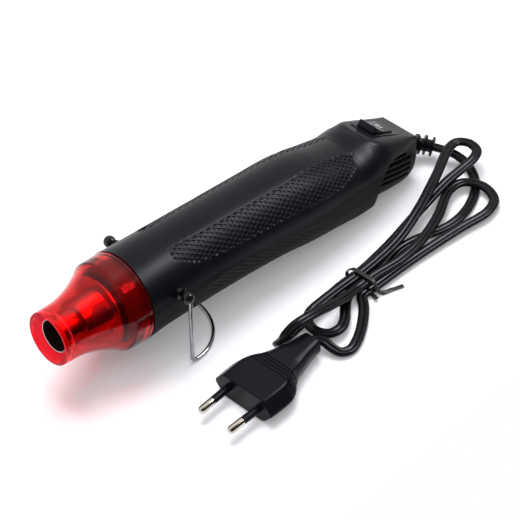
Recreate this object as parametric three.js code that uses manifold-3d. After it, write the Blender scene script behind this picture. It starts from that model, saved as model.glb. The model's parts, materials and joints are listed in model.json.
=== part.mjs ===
// Mini hot air tool: black casing, red nozzle guard, heater, blower, wire stand, rocker switch and flat lead.
// Lengths are millimetres and angles are degrees. The tool's own frame has its axis along +X from the rim of
// the guard and +Z up. The tool is then tipped nose up, so that it stands on its wire foot and on its heel.

import * as THREE from "three";
import { mergeVertices } from "three/addons/utils/BufferGeometryUtils.js";
import Module from "manifold-3d";

const wasm = await Module();
wasm.setup();

// Clearances between pieces
const seatGap = 0.3;
const splitGap = 0.3;
const shaftGap = 0.25;
const fanGap = 0.7;
// Reach of cutting blocks, past every piece
const beyond = 400;

// Stance
const tilt = 4;
const heelPosition = 197;
const heelDepth = 24.4;
const heelFlat = 0.3;
const heelEdge = 3.4;
const heelLean = 1.8;
const archHeight = 6.9;
const archReach = 11;

// Nozzle guard
const rimRadius = 13.1;
const rimRound = 0.8;
const tipLength = 9;
const tipFlare = 0.25;
const guardLength = 42.4;
const collarLength = 10.6;
const collarRadius = 22.5;
const collarTaper = 0.35;
const shoulderRound = 1.2;
const guardWall = 1.8;
const dishDepth = 3.9;
const dishWall = 1.5;
const spigotRadius = 20.2;
const spigotLength = 4;
const spigotWall = 1.5;

// Nozzle tube, insulator and heater
const boreRadius = 7.7;
const tubeWall = 0.5;
const tubeLip = 0.4;
const tubeNeckEnd = 14;
const tubeStep = 0.7;
const canRadius = 11.2;
const flangePosition = 28.6;
const flangeRadius = 16.4;
const flangeThickness = 0.8;
const ringChamfer = 4;
const shieldRadius = 13.4;
const shieldWall = 0.7;
const shieldEnd = 82;
const coreFront = 33;
const coreEnd = 77;
const coreArm = 9.6;
const coreThickness = 1;
const coreEndLength = 3;
const coilRadius = 10.6;
const coilWire = 0.55;
const coilTurns = 6;
const coilMargin = 2;
const cutoutRadius = 1.7;
const cutoutLength = 9;
const cutoutPosition = 50;

// Casing
const mouthGap = 0.3;
const shellWall = 1.9;
const tailWall = 1.7;
const skinStep = 8;
const platformFront = 195.7;
const platformHeight = 20;
const platformSlope = 20.6;
const platformLength = 40.3;
const platformFrontHalf = 10.8;
const platformRearHalf = 11;
const platformCorner = 3.6;
const roofThickness = 2.6;
const roofDrop = 2;
const shoulderSink = 0.3;
const shoulderHollow = [0.35, 0.48];
const rampStart = 185.5;
const shoulderReach = 6;
const tailEnd = 235.3;
const bulkheadThickness = 2;
const mouthBulkhead = 47.2;
const ductBulkheadFront = 88;
const ductBulkheadRear = 99;
// Height at the pivot, start and end of each air slot; all fall toward the tail
const slotRows = [
  [5.2, 208.5, 222],
  [2.5, 203.5, 225.3],
  [-0.7, 200.5, 225],
  [-4, 199.5, 225],
  [-7.5, 199.5, 224.5],
];
const slotPivot = 210;
const slotFall = 11.3;
const slotHeight = 1.9;
const slotInner = 9.8;
const bossRadius = 3;
const screwShank = 1.1;
const screwHead = 2.6;
const screwHeadThickness = 1.6;
const screwSeat = 7;
const screwReach = 9;
const shelfThickness = 1.7;
const shelfInner = 9.5;

// Blower
const ductInner = 15.3;
const ductWall = 1.5;
const ductStart = 74;
const ductLap = 9;
const ductConeEnd = 89;
const ductEnd = 105;
const fanFront = 90;
const fanLength = 10;
const fanHub = 4.6;
const fanBlades = 7;
const bladeThickness = 0.9;
const bladeRootPitch = 50;
const bladeTipPitch = 28;
const motorRadius = 11.4;
const motorFront = 105;
const motorLength = 28;
const motorCapRadius = 10.6;
const motorCapLength = 4.5;
const cupWall = 1.3;
const cupEnd = 116;
const cupLip = 2;
const spokeWidth = 2;
const spokeLength = 3;
const shaftRadius = 1;
const shaftTail = 2;

// Supply board
const boardStart = 150;
const boardLength = 34;
const boardHalf = 11;
const boardThickness = 1.6;
const boardHeight = -10.5;
const capacitorSize = [13, 6, 10];
const capacitorPosition = [160, 4];
const bridgeSize = [11, 4.5, 9];
const bridgePosition = [174, -4];

// Rocker switch, on the platform
const switchPosition = 212.4;
const bezelLength = 21;
const bezelWidth = 15;
const bezelHeight = 1.2;
const switchLength = 18.6;
const switchWidth = 12.6;
const switchDepth = 13;
const wellLength = 18;
const wellWidth = 11.6;
const wellDepth = 7;
const rockerHalf = 8;
const rockerWidth = 10.9;
const rockerThickness = 4;
const rockerThrow = 10.5;
const axleDepth = 1.2;
const terminalSize = [0.8, 6.3, 9];
const terminalSpacing = 9;
const terminalSeat = 2.5;

// Wire stand
const standPosition = 58.8;
const standHeight = 7.3;
const standWire = 1;
const legBend = 1.5;
const footBend = 3.2;
const footReach = 28.3;
const pivotInner = 17.5;
const bushShank = 2.2;
const bushFlange = 3.4;
const bushFlangeThickness = 1.3;
const bushDome = 3;
const bushDomeRound = 0.7;
const bushLap = 1.5;
const bushReach = 3.7;

// Lead, its boot and clamp
const leadWidth = 5.4;
const leadThickness = 2.8;
const leadGroove = 0.45;
const bootHeight = -9.8;
const bootCore = 3.5;
const bootRib = 5.1;
const bootRibEnd = 4.5;
const bootRibs = 5;
const bootRibPitch = 3.7;
const bootRibLength = 1.9;
const bootNeck = 4;
const bootFlange = 6;
const bootCollar = 4.9;
const bootFlangeThickness = 1.5;
const bootTurn = 57;
const bootDroop = 8;
const bootLength = 21;
const bootInside = 8;
const bootBack = 2.4;
const leadSeat = 5;
const clampPosition = 204;
const clampLength = 7;
const clampHalf = 10;
const clampThickness = 2.6;
const clampHeight = -10;
const postInner = 4.8;
const postOuter = 9;
const clampScrewSpacing = 6.9;
const clampScrewShank = 0.9;
const clampScrewHead = 1.9;
const clampScrewReach = 5;
const wireRadius = 0.9;

// Plug
const plugPosition = [55.7, -64.65];
const plugYaw = 2.8;
const plugHeight = 6.95;
const plugLength = 47.5;
const plugGrooves = 4;
const plugGrooveStart = 16.6;
const plugGroovePitch = 1.9;
const plugGrooveLength = 0.95;
const plugGrooveDepth = 0.45;
const plugWaist = [17, 30];
const pinSpacing = 18.6;
const pinToe = 1.65;
const pinLength = 19;
const pinRadius = 2;
const pinCore = 1.2;
const pinSeat = 6;
const sleeveLength = 10;
const sleeveRadius = 1.9;

// Hank of the lead: three lanes lie on the table at the tie and two lie on them
const tiePosition = 152;
const tieLane = -48.8;
const lanePitch = 6;
const laneHeight = 2.5;
const laneRise = 3.5;
const tieHalfLength = 6;
const lowFoldReach = 33;
const highFoldReach = 53;
const nearFoldReach = 85;
const farFoldReach = 104;
const tieWidth = 2.2;
const tieThickness = 0.6;

// Outlines: each row is one station along the axis.
// Casing: position, half width, height above the axis, depth below it, squareness of the lower half
const casingStations = [
  [guardLength + mouthGap, 22.6, 22.8, 22.4, 2],
  [55, 22.2, 23.4, 20.4, 2],
  [100, 22.1, 24.3, 19.5, 2],
  [132, 22.7, 24.4, 20.8, 2],
  [148, 23.2, 24.1, 22.4, 2.1],
  [160, 23, 22.7, 23.3, 2.2],
  [172, 22.5, 20.3, 24, 2.3],
  [187, 21.5, 17.9, heelDepth, 2.7],
  [199, 21, 17, heelDepth, 2.7],
  [210, 19.5, 13, heelDepth, 2.7],
  [222, 16.5, 9, heelDepth, 2.7],
  [233.4, 12.5, 4, heelDepth, 2.7],
];
// Tail: position, half width, top, middle, bottom
const tailStations = [
  [186, 18.6, 13, -2, -17.4],
  [200, 18.4, 12, -2.5, -18.4],
  [213, 17.8, 9.5, -3.5, -19.8],
  [226, 16.2, 5.6, -5, -20.6],
  [232, 14, 3.6, -5.8, -18.8],
  [tailEnd, 11.4, 2.2, -6.3, -15.5],
];
const tailSquareness = 2.8;
// Plug: distance behind its face, half width, half thickness
const plugStations = [
  [0, 16.8, 6.3],
  [0.7, 17.35, 6.85],
  [13, 17.6, 6.85],
  [17, 16.4, 6.75],
  [20, 14.6, 6.65],
  [23, 12.2, 6.5],
  [28, 9.8, 6.2],
  [34, 8.2, 5.85],
  [40, 6.8, 5.4],
  [plugLength, 5.6, 4.9],
];
// Quarter of the plug's section, as shares of its half width and half thickness: flat hexagon, and rounded neck
const plugBodyCorner = [
  [0.99, 0.08],
  [0.72, 0.93],
  [0.66, 1],
];
const plugNeckCorner = [
  [0.98, 0.3],
  [0.8, 0.75],
  [0.45, 0.97],
];
// Screws that join the half casings: position, height
const screwPlaces = [
  [66, 18],
  [66, -17],
  [158, 17],
  [189, -20],
];

const casingSides = 28;
const cavitySides = 20;
const tailSides = 24;
const roundSides = 24;
const smallSides = 12;
const closeEnough = 1e-4;

const radians = THREE.MathUtils.degToRad;
const tiltAngle = radians(tilt);
const noseHeight = heelPosition * Math.sin(tiltAngle) + (heelDepth - heelFlat) * Math.cos(tiltAngle);
const point = (x, y, z) => new THREE.Vector3(x, y, z);

// Solids

function solidOf(geometry) {
  const bare = new THREE.BufferGeometry();
  bare.setAttribute("position", geometry.getAttribute("position").clone());
  if (geometry.index) {
    bare.setIndex(geometry.index.clone());
  }
  const merged = mergeVertices(bare, closeEnough);
  const corners = merged.index.array;
  const triangles = [];
  for (let k = 0; k < corners.length; k += 3) {
    const [a, b, c] = [corners[k], corners[k + 1], corners[k + 2]];
    if (a !== b && b !== c && c !== a) {
      triangles.push(a, b, c);
    }
  }
  const vertProperties = new Float32Array(merged.getAttribute("position").array);
  const made = (triVerts) =>
    new wasm.Manifold(new wasm.Mesh({ numProp: 3, vertProperties, triVerts: new Uint32Array(triVerts) }));
  const solid = made(triangles);
  if (solid.volume() > 0) {
    return solid;
  }
  for (let k = 0; k < triangles.length; k += 3) {
    [triangles[k], triangles[k + 1]] = [triangles[k + 1], triangles[k]];
  }
  return made(triangles);
}

function joined(first, ...others) {
  return others.reduce((whole, other) => whole.add(other), first);
}

function cutBy(first, ...cutters) {
  return cutters.reduce((whole, cutter) => whole.subtract(cutter), first);
}

// three.js geometry of a solid.
function geometryOf(solid) {
  const { vertProperties, triVerts } = solid.getMesh();
  const geometry = new THREE.BufferGeometry();
  geometry.setAttribute("position", new THREE.BufferAttribute(new Float32Array(vertProperties), 3));
  geometry.setIndex(new THREE.BufferAttribute(new Uint32Array(triVerts), 1));
  geometry.computeVertexNormals();
  return geometry;
}

// Closed surface through rings with equal numbers of points, with a flat cap at each end.
function loft(rings) {
  const sides = rings[0].length;
  const positions = rings.flat().flatMap((corner) => corner.toArray());
  const index = [];
  for (let r = 0; r + 1 < rings.length; r++) {
    for (let k = 0; k < sides; k++) {
      const a = r * sides + k;
      const b = r * sides + ((k + 1) % sides);
      index.push(a, a + sides, b, b, a + sides, b + sides);
    }
  }
  const cap = (ring, first, outward) => {
    const middle = positions.length / 3;
    const centre = ring.reduce((sum, corner) => sum.add(corner), point(0, 0, 0)).divideScalar(sides);
    positions.push(...centre.toArray());
    for (let k = 0; k < sides; k++) {
      const pair = [first + k, first + ((k + 1) % sides)];
      index.push(middle, ...(outward ? pair.reverse() : pair));
    }
  };
  cap(rings[0], 0, false);
  cap(rings[rings.length - 1], (rings.length - 1) * sides, true);
  const geometry = new THREE.BufferGeometry();
  geometry.setAttribute("position", new THREE.Float32BufferAttribute(positions, 3));
  geometry.setIndex(index);
  return geometry;
}

// Body of revolution about +X from an outline of [position, radius] points.
function revolve(outline, sides = roundSides) {
  const points = [...outline, outline[0]].map(([along, radius]) => new THREE.Vector2(radius, along));
  return new THREE.LatheGeometry(points, sides).rotateZ(-Math.PI / 2);
}

function rod(start, end, radius, sides = smallSides) {
  return revolve([[start, 0], [start, radius], [end, radius], [end, 0]], sides);
}

function pipe(start, end, inner, outer, sides = roundSides) {
  return revolve([[start, inner], [start, outer], [end, outer], [end, inner]], sides);
}

// Box from its least corner to its greatest corner.
function block(from, to) {
  const size = to.map((high, k) => high - from[k]);
  const middle = to.map((high, k) => (high + from[k]) / 2);
  return new THREE.BoxGeometry(...size).translate(...middle);
}

// Side-view outline of [x, z] points drawn out across the tool from y = -half to y = half.
function sidePlate(outline, half) {
  const shape = new THREE.Shape(outline.map(([x, z]) => new THREE.Vector2(x, z)));
  return new THREE.ExtrudeGeometry(shape, { depth: 2 * half, bevelEnabled: false })
    .rotateX(Math.PI / 2)
    .translate(0, half, 0);
}

// Value that runs smoothly through one column of a table of stations.
function through(stations, column) {
  const last = stations.length - 1;
  const slope = (k) => {
    const low = stations[Math.max(k - 1, 0)];
    const high = stations[Math.min(k + 1, last)];
    return (high[column] - low[column]) / (high[0] - low[0]);
  };
  return (at) => {
    const x = Math.min(Math.max(at, stations[0][0]), stations[last][0]);
    const k = Math.min(Math.max(stations.findIndex((row) => row[0] > x) - 1, 0), last - 1);
    const from = x < stations[last][0] ? k : last - 1;
    const [low, high] = [stations[from], stations[from + 1]];
    const span = high[0] - low[0];
    const t = (x - low[0]) / span;
    const rise = high[column] - low[column];
    return (
      low[column] +
      rise * t * t * (3 - 2 * t) +
      span * t * (1 - t) * (slope(from) * (1 - t) - slope(from + 1) * t)
    );
  };
}

// Ring in the plane across the axis: half width, reach up and reach down from a middle height.
function ovalRing(x, half, top, middle, bottom, squareUp, squareDown, sides) {
  return Array.from({ length: sides }, (_, k) => {
    const angle = (2 * Math.PI * k) / sides;
    const power = 2 / (Math.sin(angle) >= 0 ? squareUp : squareDown);
    const across = Math.sign(Math.cos(angle)) * Math.abs(Math.cos(angle)) ** power;
    const upward = Math.sign(Math.sin(angle)) * Math.abs(Math.sin(angle)) ** power;
    const reach = upward >= 0 ? top - middle : middle - bottom;
    return point(x, half * across, middle + reach * upward);
  });
}

// Places along a table of stations: each station, and steps between them of about the given length.
function placesAlong(stations, step) {
  const starts = stations.map(([x]) => x);
  return starts.flatMap((x, k) => {
    const next = starts[k + 1] ?? x;
    const steps = Math.max(1, Math.round((next - x) / step));
    return next > x ? evenly(x, next, steps).slice(0, -1) : [x];
  });
}

function evenly(start, end, steps) {
  return Array.from({ length: steps + 1 }, (_, k) => start + ((end - start) * k) / steps);
}

// Casing

const platformAngle = radians(platformSlope);
const platformAt = (x) => platformHeight - (x - platformFront) * Math.tan(platformAngle);
const onPlatform = (geometry, x = switchPosition) =>
  geometry.rotateY(platformAngle).translate(x, 0, platformAt(x));

const casingWidth = through(casingStations, 1);
const casingCrown = through(casingStations, 2);
const casingKeel = through(casingStations, 3);
const casingSquare = through(casingStations, 4);

const crownAt = (x) => Math.min(casingCrown(x), x > platformFront ? platformAt(x) - roofDrop : Infinity);

function casingRing(x, inset, sides) {
  const [half, top, bottom] = [casingWidth(x) - inset, crownAt(x) - inset, inset - casingKeel(x)];
  return ovalRing(x, half, top, 0, bottom, 2, casingSquare(x), sides);
}

const [tailWidth, tailTop, tailMiddle, tailBottom] = [1, 2, 3, 4].map((k) => through(tailStations, k));

function tailRing(x, inset, sides) {
  const [half, top, bottom] = [tailWidth(x) - inset, tailTop(x) - inset, tailBottom(x) + inset];
  return ovalRing(x, half, top, tailMiddle(x), bottom, tailSquareness, tailSquareness, sides);
}

const mouthPosition = guardLength + mouthGap;
const casingEnd = platformFront + platformLength * Math.cos(platformAngle);

function casingSkin() {
  const rings = placesAlong(casingStations, skinStep).map((x) => casingRing(x, 0, casingSides));
  const covered = joined(solidOf(loft(rings)), platformRoof(), platformShoulders());
  return covered.subtract(solidOf(cutBack()));
}

// Cut behind the heel, which leaves the edge of the casing as an arch over the narrower tail.
function cutBack() {
  const wallFoot = heelPosition - heelLean;
  const archTop = heelPosition + archReach;
  const [far, low] = [tailEnd + 4, -beyond];
  const outline = new THREE.Shape();
  outline.moveTo(heelPosition, low);
  outline.lineTo(heelPosition, heelEdge - heelDepth);
  outline.lineTo(wallFoot, -heelDepth / 2);
  outline.bezierCurveTo(wallFoot - 0.8, 0, archTop - 9, archHeight - 0.2, archTop, archHeight);
  outline.bezierCurveTo(archTop + 9, archHeight, archTop + 19, 1.5, far, -1);
  outline.lineTo(far, low);
  return sidePlate(outline.getPoints(5).map((p) => [p.x, p.y]), beyond);
}

function platformRoof() {
  const slab = new THREE.Shape();
  const [front, rear, corner] = [platformFrontHalf, platformRearHalf, platformCorner];
  slab.moveTo(0, -front + corner);
  slab.lineTo(0, front - corner);
  slab.quadraticCurveTo(0, front, corner, front + 0.2);
  slab.lineTo(platformLength - corner, rear);
  slab.quadraticCurveTo(platformLength, rear, platformLength, rear - corner);
  slab.lineTo(platformLength, corner - rear);
  slab.quadraticCurveTo(platformLength, -rear, platformLength - corner, -rear);
  slab.lineTo(corner, -front - 0.2);
  slab.quadraticCurveTo(0, -front, 0, corner - front);
  const drawn = { depth: roofThickness, bevelEnabled: false, curveSegments: 4 };
  const roof = new THREE.ExtrudeGeometry(slab, drawn);
  return solidOf(onPlatform(roof.translate(0, 0, -roofThickness), platformFront));
}

// Sloping shoulders between the platform and the skin, with the ramp that leads up to its front edge.
function platformShoulders() {
  const skinAt = (x, y) => crownAt(x) * Math.sqrt(Math.max(0, 1 - (y / casingWidth(x)) ** 2));
  const places = [
    rampStart,
    platformFront + shoulderSink,
    platformFront + platformCorner,
    ...evenly(platformFront, casingEnd, 3).slice(1),
  ];
  const rings = places.map((x, k) => {
    const edge = platformFrontHalf - (k < 2 ? platformCorner : shoulderSink);
    const foot = Math.min(edge + shoulderReach, casingWidth(x) - 2 * shoulderSink);
    const crestAt = (y) => (k === 0 ? skinAt(x, y) : platformAt(x)) - shoulderSink;
    const top = crestAt(edge);
    const low = skinAt(x, foot) - 2 * shoulderSink;
    const hollow = [edge + (foot - edge) * shoulderHollow[0], low + (top - low) * shoulderHollow[1]];
    const crest = [edge / 2, crestAt(edge / 2)];
    const half = [[foot, low - roofThickness], [foot, low], hollow, [edge, top], crest];
    const mirrored = half.map(([y, z]) => [-y, z]).reverse();
    return [...half, ...mirrored].map(([y, z]) => point(x, y, z));
  });
  return solidOf(loft(rings));
}

function airSlots() {
  const cutters = [];
  for (const [height, start, end] of slotRows) {
    for (const side of [-1, 1]) {
      const across = [side * slotInner, side * beyond].sort((a, b) => a - b);
      const [front, rear] = [start - slotPivot, end - slotPivot];
      const cutter = block([front, across[0], -slotHeight / 2], [rear, across[1], slotHeight / 2]);
      cutters.push(cutter.rotateY(radians(slotFall)).translate(slotPivot, 0, height));
    }
  }
  return cutters.map(solidOf);
}

function bulkhead(start, hole) {
  const plate = block([start, -beyond, -beyond], [start + bulkheadThickness, beyond, beyond]);
  return solidOf(plate).subtract(solidOf(rod(start - 1, start + bulkheadThickness + 1, hole, roundSides)));
}

// Round bar across the tool, from one y to another, at a place on the centre plane.
function crossBar(x, z, from, to, radius, sides = smallSides) {
  return rod(from, to, radius, sides).rotateZ(Math.PI / 2).translate(x, 0, z);
}

function pairOfPosts() {
  return [-1, 1].map((side) => {
    const across = [side * postInner, side * postOuter].sort((a, b) => a - b);
    const top = clampHeight - seatGap;
    return solidOf(block([clampPosition, across[0], -beyond], [clampPosition + clampLength, across[1], top]));
  });
}

function boardShelves() {
  return [-1, 1].map((side) => {
    const across = [side * shelfInner, side * beyond].sort((a, b) => a - b);
    const top = boardHeight - seatGap;
    const low = [boardStart, across[0], top - shelfThickness];
    return solidOf(block(low, [boardStart + boardLength, across[1], top]));
  });
}

function halfCasings() {
  const table = block([-beyond, -beyond, -beyond], [beyond, beyond, 0]);
  const floor = table.translate(0, 0, -noseHeight).rotateY(-tiltAngle);
  const tailRings = placesAlong(tailStations, skinStep).map((x) => tailRing(x, 0, tailSides));
  const outer = joined(casingSkin(), solidOf(loft(tailRings))).subtract(solidOf(floor));

  const hollowEnd = heelPosition - shellWall - seatGap;
  const hollowPlaces = casingStations.map(([x]) => x).filter((x) => x < hollowEnd);
  const hollowRings = [...hollowPlaces, hollowEnd].map((x) => casingRing(x, shellWall, cavitySides));
  hollowRings[0].forEach((corner) => corner.setX(mouthPosition - shellWall));
  const tailPlaces = [...tailStations.slice(0, -1).map(([x]) => x), tailEnd - tailWall];
  const tailHollow = tailPlaces.map((x) => tailRing(x, tailWall, cavitySides));
  const inside = joined(solidOf(loft(hollowRings)), solidOf(loft(tailHollow)));

  const bosses = screwPlaces.map(([x, z]) => solidOf(crossBar(x, z, -beyond, beyond, bossRadius)));
  const ribs = joined(
    bulkhead(mouthBulkhead, shieldRadius + 2 * seatGap),
    bulkhead(ductBulkheadFront, ductInner + ductWall + seatGap),
    bulkhead(ductBulkheadRear, ductInner + ductWall + seatGap),
    ...bosses,
    ...boardShelves(),
    ...pairOfPosts(),
  ).intersect(outer);

  const pocket = block(
    [-switchLength / 2 - seatGap, -switchWidth / 2 - seatGap, -switchDepth - terminalSeat],
    [switchLength / 2 + seatGap, switchWidth / 2 + seatGap, switchDepth],
  );
  const screwHoles = screwPlaces.flatMap(([x, z]) => [
    solidOf(crossBar(x, z, -screwReach - 1, screwSeat + 1, screwShank + shaftGap)),
    solidOf(crossBar(x, z, screwSeat, beyond, screwHead + seatGap)),
  ]);
  const clampPilots = [-1, 1].map((side) =>
    solidOf(
      rod(0, clampScrewReach + 1, clampScrewShank + shaftGap)
        .rotateY(Math.PI / 2)
        .translate(clampPosition + clampLength / 2, side * clampScrewSpacing, clampHeight),
    ),
  );
  const whole = cutBy(
    joined(outer.subtract(inside), ribs),
    solidOf(rod(0, guardLength + spigotLength + seatGap, spigotRadius + seatGap, roundSides)),
    solidOf(onPlatform(pocket)),
    solidOf(crossBar(standPosition, standHeight, -beyond, beyond, bushShank + seatGap)),
    solidOf(rod(tailEnd - bootInside, tailEnd + 1, bootNeck + seatGap).translate(0, 0, bootHeight)),
    ...screwHoles,
    ...clampPilots,
    ...airSlots(),
  );
  const halfSpace = (from, to) => solidOf(block([-beyond, from, -beyond], [beyond, to, beyond]));
  return {
    left_shell: whole.intersect(halfSpace(-beyond, -splitGap / 2)),
    right_shell: whole.intersect(halfSpace(splitGap / 2, beyond)),
  };
}

// Nozzle

function offsetOutline(outline, distance) {
  return outline.map(([x, radius], k) => {
    const [x0, r0] = outline[Math.max(k - 1, 0)];
    const [x1, r1] = outline[Math.min(k + 1, outline.length - 1)];
    const length = Math.hypot(x1 - x0, r1 - r0);
    return [x + (distance * (r1 - r0)) / length, radius - (distance * (x1 - x0)) / length];
  });
}

function guardOutline() {
  const collarFront = guardLength - collarLength;
  const tipRadius = rimRadius + tipFlare;
  const shoulder = collarRadius - collarTaper;
  const flare = new THREE.QuadraticBezierCurve(
    new THREE.Vector2(tipLength, tipRadius),
    new THREE.Vector2(tipLength + 10.6, tipRadius + 0.7),
    new THREE.Vector2(collarFront - shoulderRound * 0.5, shoulder - shoulderRound * 0.8),
  );
  const wall = [
    [rimRound * 2, rimRadius],
    ...flare.getPoints(6).map((p) => [p.x, p.y]),
    [collarFront + shoulderRound * 0.15, shoulder - shoulderRound * 0.2],
    [collarFront + shoulderRound, shoulder],
  ];
  const tubeHole = boreRadius + tubeWall + seatGap;
  const innerWall = offsetOutline(wall, guardWall).filter(([x]) => x > dishDepth + dishWall + 1.2).reverse();
  const spigotInner = spigotRadius - spigotWall;
  return [
    [dishDepth + dishWall, tubeHole],
    [dishDepth, tubeHole],
    [rimRound * 0.75, rimRadius - rimRound * 1.7],
    [rimRound * 0.1, rimRadius - rimRound * 1.2],
    [0, rimRadius - rimRound * 0.8],
    [rimRound * 0.25, rimRadius - rimRound * 0.25],
    [rimRound * 0.9, rimRadius],
    ...wall,
    [guardLength, collarRadius],
    [guardLength, spigotRadius],
    [guardLength + spigotLength, spigotRadius],
    [guardLength + spigotLength, spigotInner],
    [guardLength - 2, spigotInner],
    [guardLength - 3.5, collarRadius - collarTaper - guardWall],
    ...innerWall,
    [dishDepth + dishWall + 0.6, rimRadius - guardWall - 0.6],
  ];
}

const tubeRadius = boreRadius + tubeWall;
const flangeRear = flangePosition + flangeThickness;
const ringFront = flangeRear + seatGap;
const ringRear = mouthBulkhead - seatGap;

function nozzleTube() {
  const canInner = canRadius - tubeWall;
  return revolve([
    [dishDepth - tubeLip, boreRadius],
    [dishDepth - tubeLip, tubeRadius],
    [tubeNeckEnd, tubeRadius],
    [tubeNeckEnd + tubeStep, canRadius],
    [flangePosition, canRadius],
    [flangePosition, flangeRadius],
    [flangeRear, flangeRadius],
    [flangeRear, canInner],
    [tubeNeckEnd + tubeStep + tubeWall, canInner],
    [tubeNeckEnd + tubeWall, boreRadius],
  ]);
}

function insulatorRing() {
  const inner = shieldRadius + seatGap;
  const outer = spigotRadius - spigotWall - seatGap;
  return revolve([
    [ringFront, inner],
    [ringFront, flangeRadius],
    [ringFront + ringChamfer, outer],
    [ringRear, outer],
    [ringRear, inner],
  ]);
}

// Heater

function micaCore() {
  const half = coreThickness / 2;
  const endArm = shieldRadius - shieldWall - seatGap;
  const plate = sidePlate(
    [
      [coreFront, -endArm],
      [coreFront + coreEndLength, -endArm],
      [coreFront + coreEndLength, -coreArm],
      [coreEnd - coreEndLength, -coreArm],
      [coreEnd - coreEndLength, -endArm],
      [coreEnd, -endArm],
      [coreEnd, endArm],
      [coreEnd - coreEndLength, endArm],
      [coreEnd - coreEndLength, coreArm],
      [coreFront + coreEndLength, coreArm],
      [coreFront + coreEndLength, endArm],
      [coreFront, endArm],
    ],
    half,
  );
  return joined(solidOf(plate.clone()), solidOf(plate.rotateX(Math.PI / 2)));
}

// Rings of a tube along points, each ring square to the path, with its width level.
function tubeRings(path, section) {
  return path.map((at, k) => {
    const ahead = path[Math.min(k + 1, path.length - 1)];
    const behind = path[Math.max(k - 1, 0)];
    const along = ahead.clone().sub(behind).normalize();
    const side = point(0, 0, 1).cross(along).normalize();
    const up = along.clone().cross(side);
    return section.map(([wide, high]) => at.clone().addScaledVector(side, wide).addScaledVector(up, high));
  });
}

function roundSection(radius, sides) {
  return Array.from({ length: sides }, (_, k) => {
    const angle = (2 * Math.PI * k) / sides;
    return [radius * Math.cos(angle), radius * Math.sin(angle)];
  });
}

function heaterCoil() {
  const start = coreFront + coreEndLength + coilMargin;
  const end = coreEnd - coreEndLength - coilMargin;
  const stepsPerTurn = 12;
  const path = Array.from({ length: coilTurns * stepsPerTurn + 1 }, (_, k) => {
    const angle = (2 * Math.PI * k) / stepsPerTurn;
    const x = start + ((end - start) * k) / (coilTurns * stepsPerTurn);
    return point(x, coilRadius * Math.cos(angle), coilRadius * Math.sin(angle));
  });
  const rings = path.map((at, k) => {
    const angle = (2 * Math.PI * k) / stepsPerTurn;
    return roundSection(coilWire, 5).map(([along, out]) =>
      at.clone().add(point(along, out * Math.cos(angle), out * Math.sin(angle))),
    );
  });
  return loft(rings);
}

// Blower

function fanDuct() {
  const lapInner = shieldRadius + seatGap;
  const outer = ductInner + ductWall;
  const lapEnd = ductStart + ductLap;
  const barrel = revolve([
    [ductStart, lapInner],
    [ductStart, lapInner + ductWall],
    [lapEnd - 1, lapInner + ductWall],
    [ductConeEnd - 1, outer],
    [ductEnd, outer],
    [ductEnd, ductInner],
    [ductConeEnd, ductInner],
    [lapEnd, lapInner],
  ]);
  const cupInner = motorRadius + seatGap;
  const lipEnd = motorFront - seatGap;
  const lipStart = lipEnd - 1.5;
  const cup = revolve([
    [lipStart, cupInner - cupLip],
    [lipStart, cupInner + cupWall],
    [cupEnd, cupInner + cupWall],
    [cupEnd, cupInner],
    [lipEnd, cupInner],
    [lipEnd, cupInner - cupLip],
  ]);
  const spokes = [0, 1, 2].map((k) =>
    solidOf(
      block(
        [ductEnd - spokeLength, -spokeWidth / 2, cupInner + 0.3],
        [ductEnd, spokeWidth / 2, ductInner + 0.5],
      ).rotateX((2 * Math.PI * k) / 3),
    ),
  );
  return joined(solidOf(barrel), solidOf(cup), ...spokes);
}

function fanImpeller() {
  const fanRadius = ductInner - fanGap;
  const middle = fanFront + fanLength / 2;
  const bladeRing = (reach, pitch) => {
    const angle = radians(pitch);
    const half = fanLength / 2 / Math.cos(angle) - bladeThickness;
    const thick = bladeThickness / 2;
    return [[-half, -thick], [half, -thick], [half, thick], [-half, thick]].map(([chord, depth]) =>
      point(
        middle + Math.min(chord * Math.cos(angle) - depth * Math.sin(angle), fanLength / 2),
        chord * Math.sin(angle) + depth * Math.cos(angle),
        reach,
      ),
    );
  };
  const steps = evenly(0, 1, 2);
  const pitchAt = (t) => bladeRootPitch + (bladeTipPitch - bladeRootPitch) * t;
  const [root, reach] = [fanHub * 0.6, fanRadius + 1];
  const bladeRings = steps.map((t) => bladeRing(root + (reach - root) * t, pitchAt(t)));
  const blades = Array.from({ length: fanBlades }, (_, k) =>
    solidOf(loft(bladeRings).rotateX((2 * Math.PI * k) / fanBlades)),
  );
  const hub = revolve([
    [fanFront, shaftRadius + shaftGap],
    [fanFront, fanHub - 1],
    [fanFront + 1, fanHub],
    [fanFront + fanLength, fanHub],
    [fanFront + fanLength, shaftRadius + shaftGap],
  ], smallSides);
  const sweep = solidOf(rod(fanFront, fanFront + fanLength, fanRadius, roundSides));
  const bore = solidOf(rod(fanFront - 1, fanFront + fanLength + 1, shaftRadius + shaftGap));
  return joined(solidOf(hub), ...blades.map((blade) => blade.intersect(sweep))).subtract(bore);
}

const motorEnd = motorFront + motorLength;
const capStart = motorEnd + seatGap;
const capEnd = capStart + motorCapLength;

function motorCan() {
  const bore = shaftRadius + shaftGap;
  return revolve([
    [motorFront - 1.5, bore],
    [motorFront - 1.5, 3],
    [motorFront, 3],
    [motorFront, motorRadius - 0.8],
    [motorFront + 0.8, motorRadius],
    [motorEnd, motorRadius],
    [motorEnd, bore],
  ]);
}

function motorEndCap() {
  const bore = shaftRadius + shaftGap;
  return revolve([
    [capStart, bore],
    [capStart, motorCapRadius],
    [capEnd - 1.5, motorCapRadius],
    [capEnd - 1.5, 4],
    [capEnd, 3.4],
    [capEnd, bore],
  ]);
}

// Rocker switch

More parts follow.
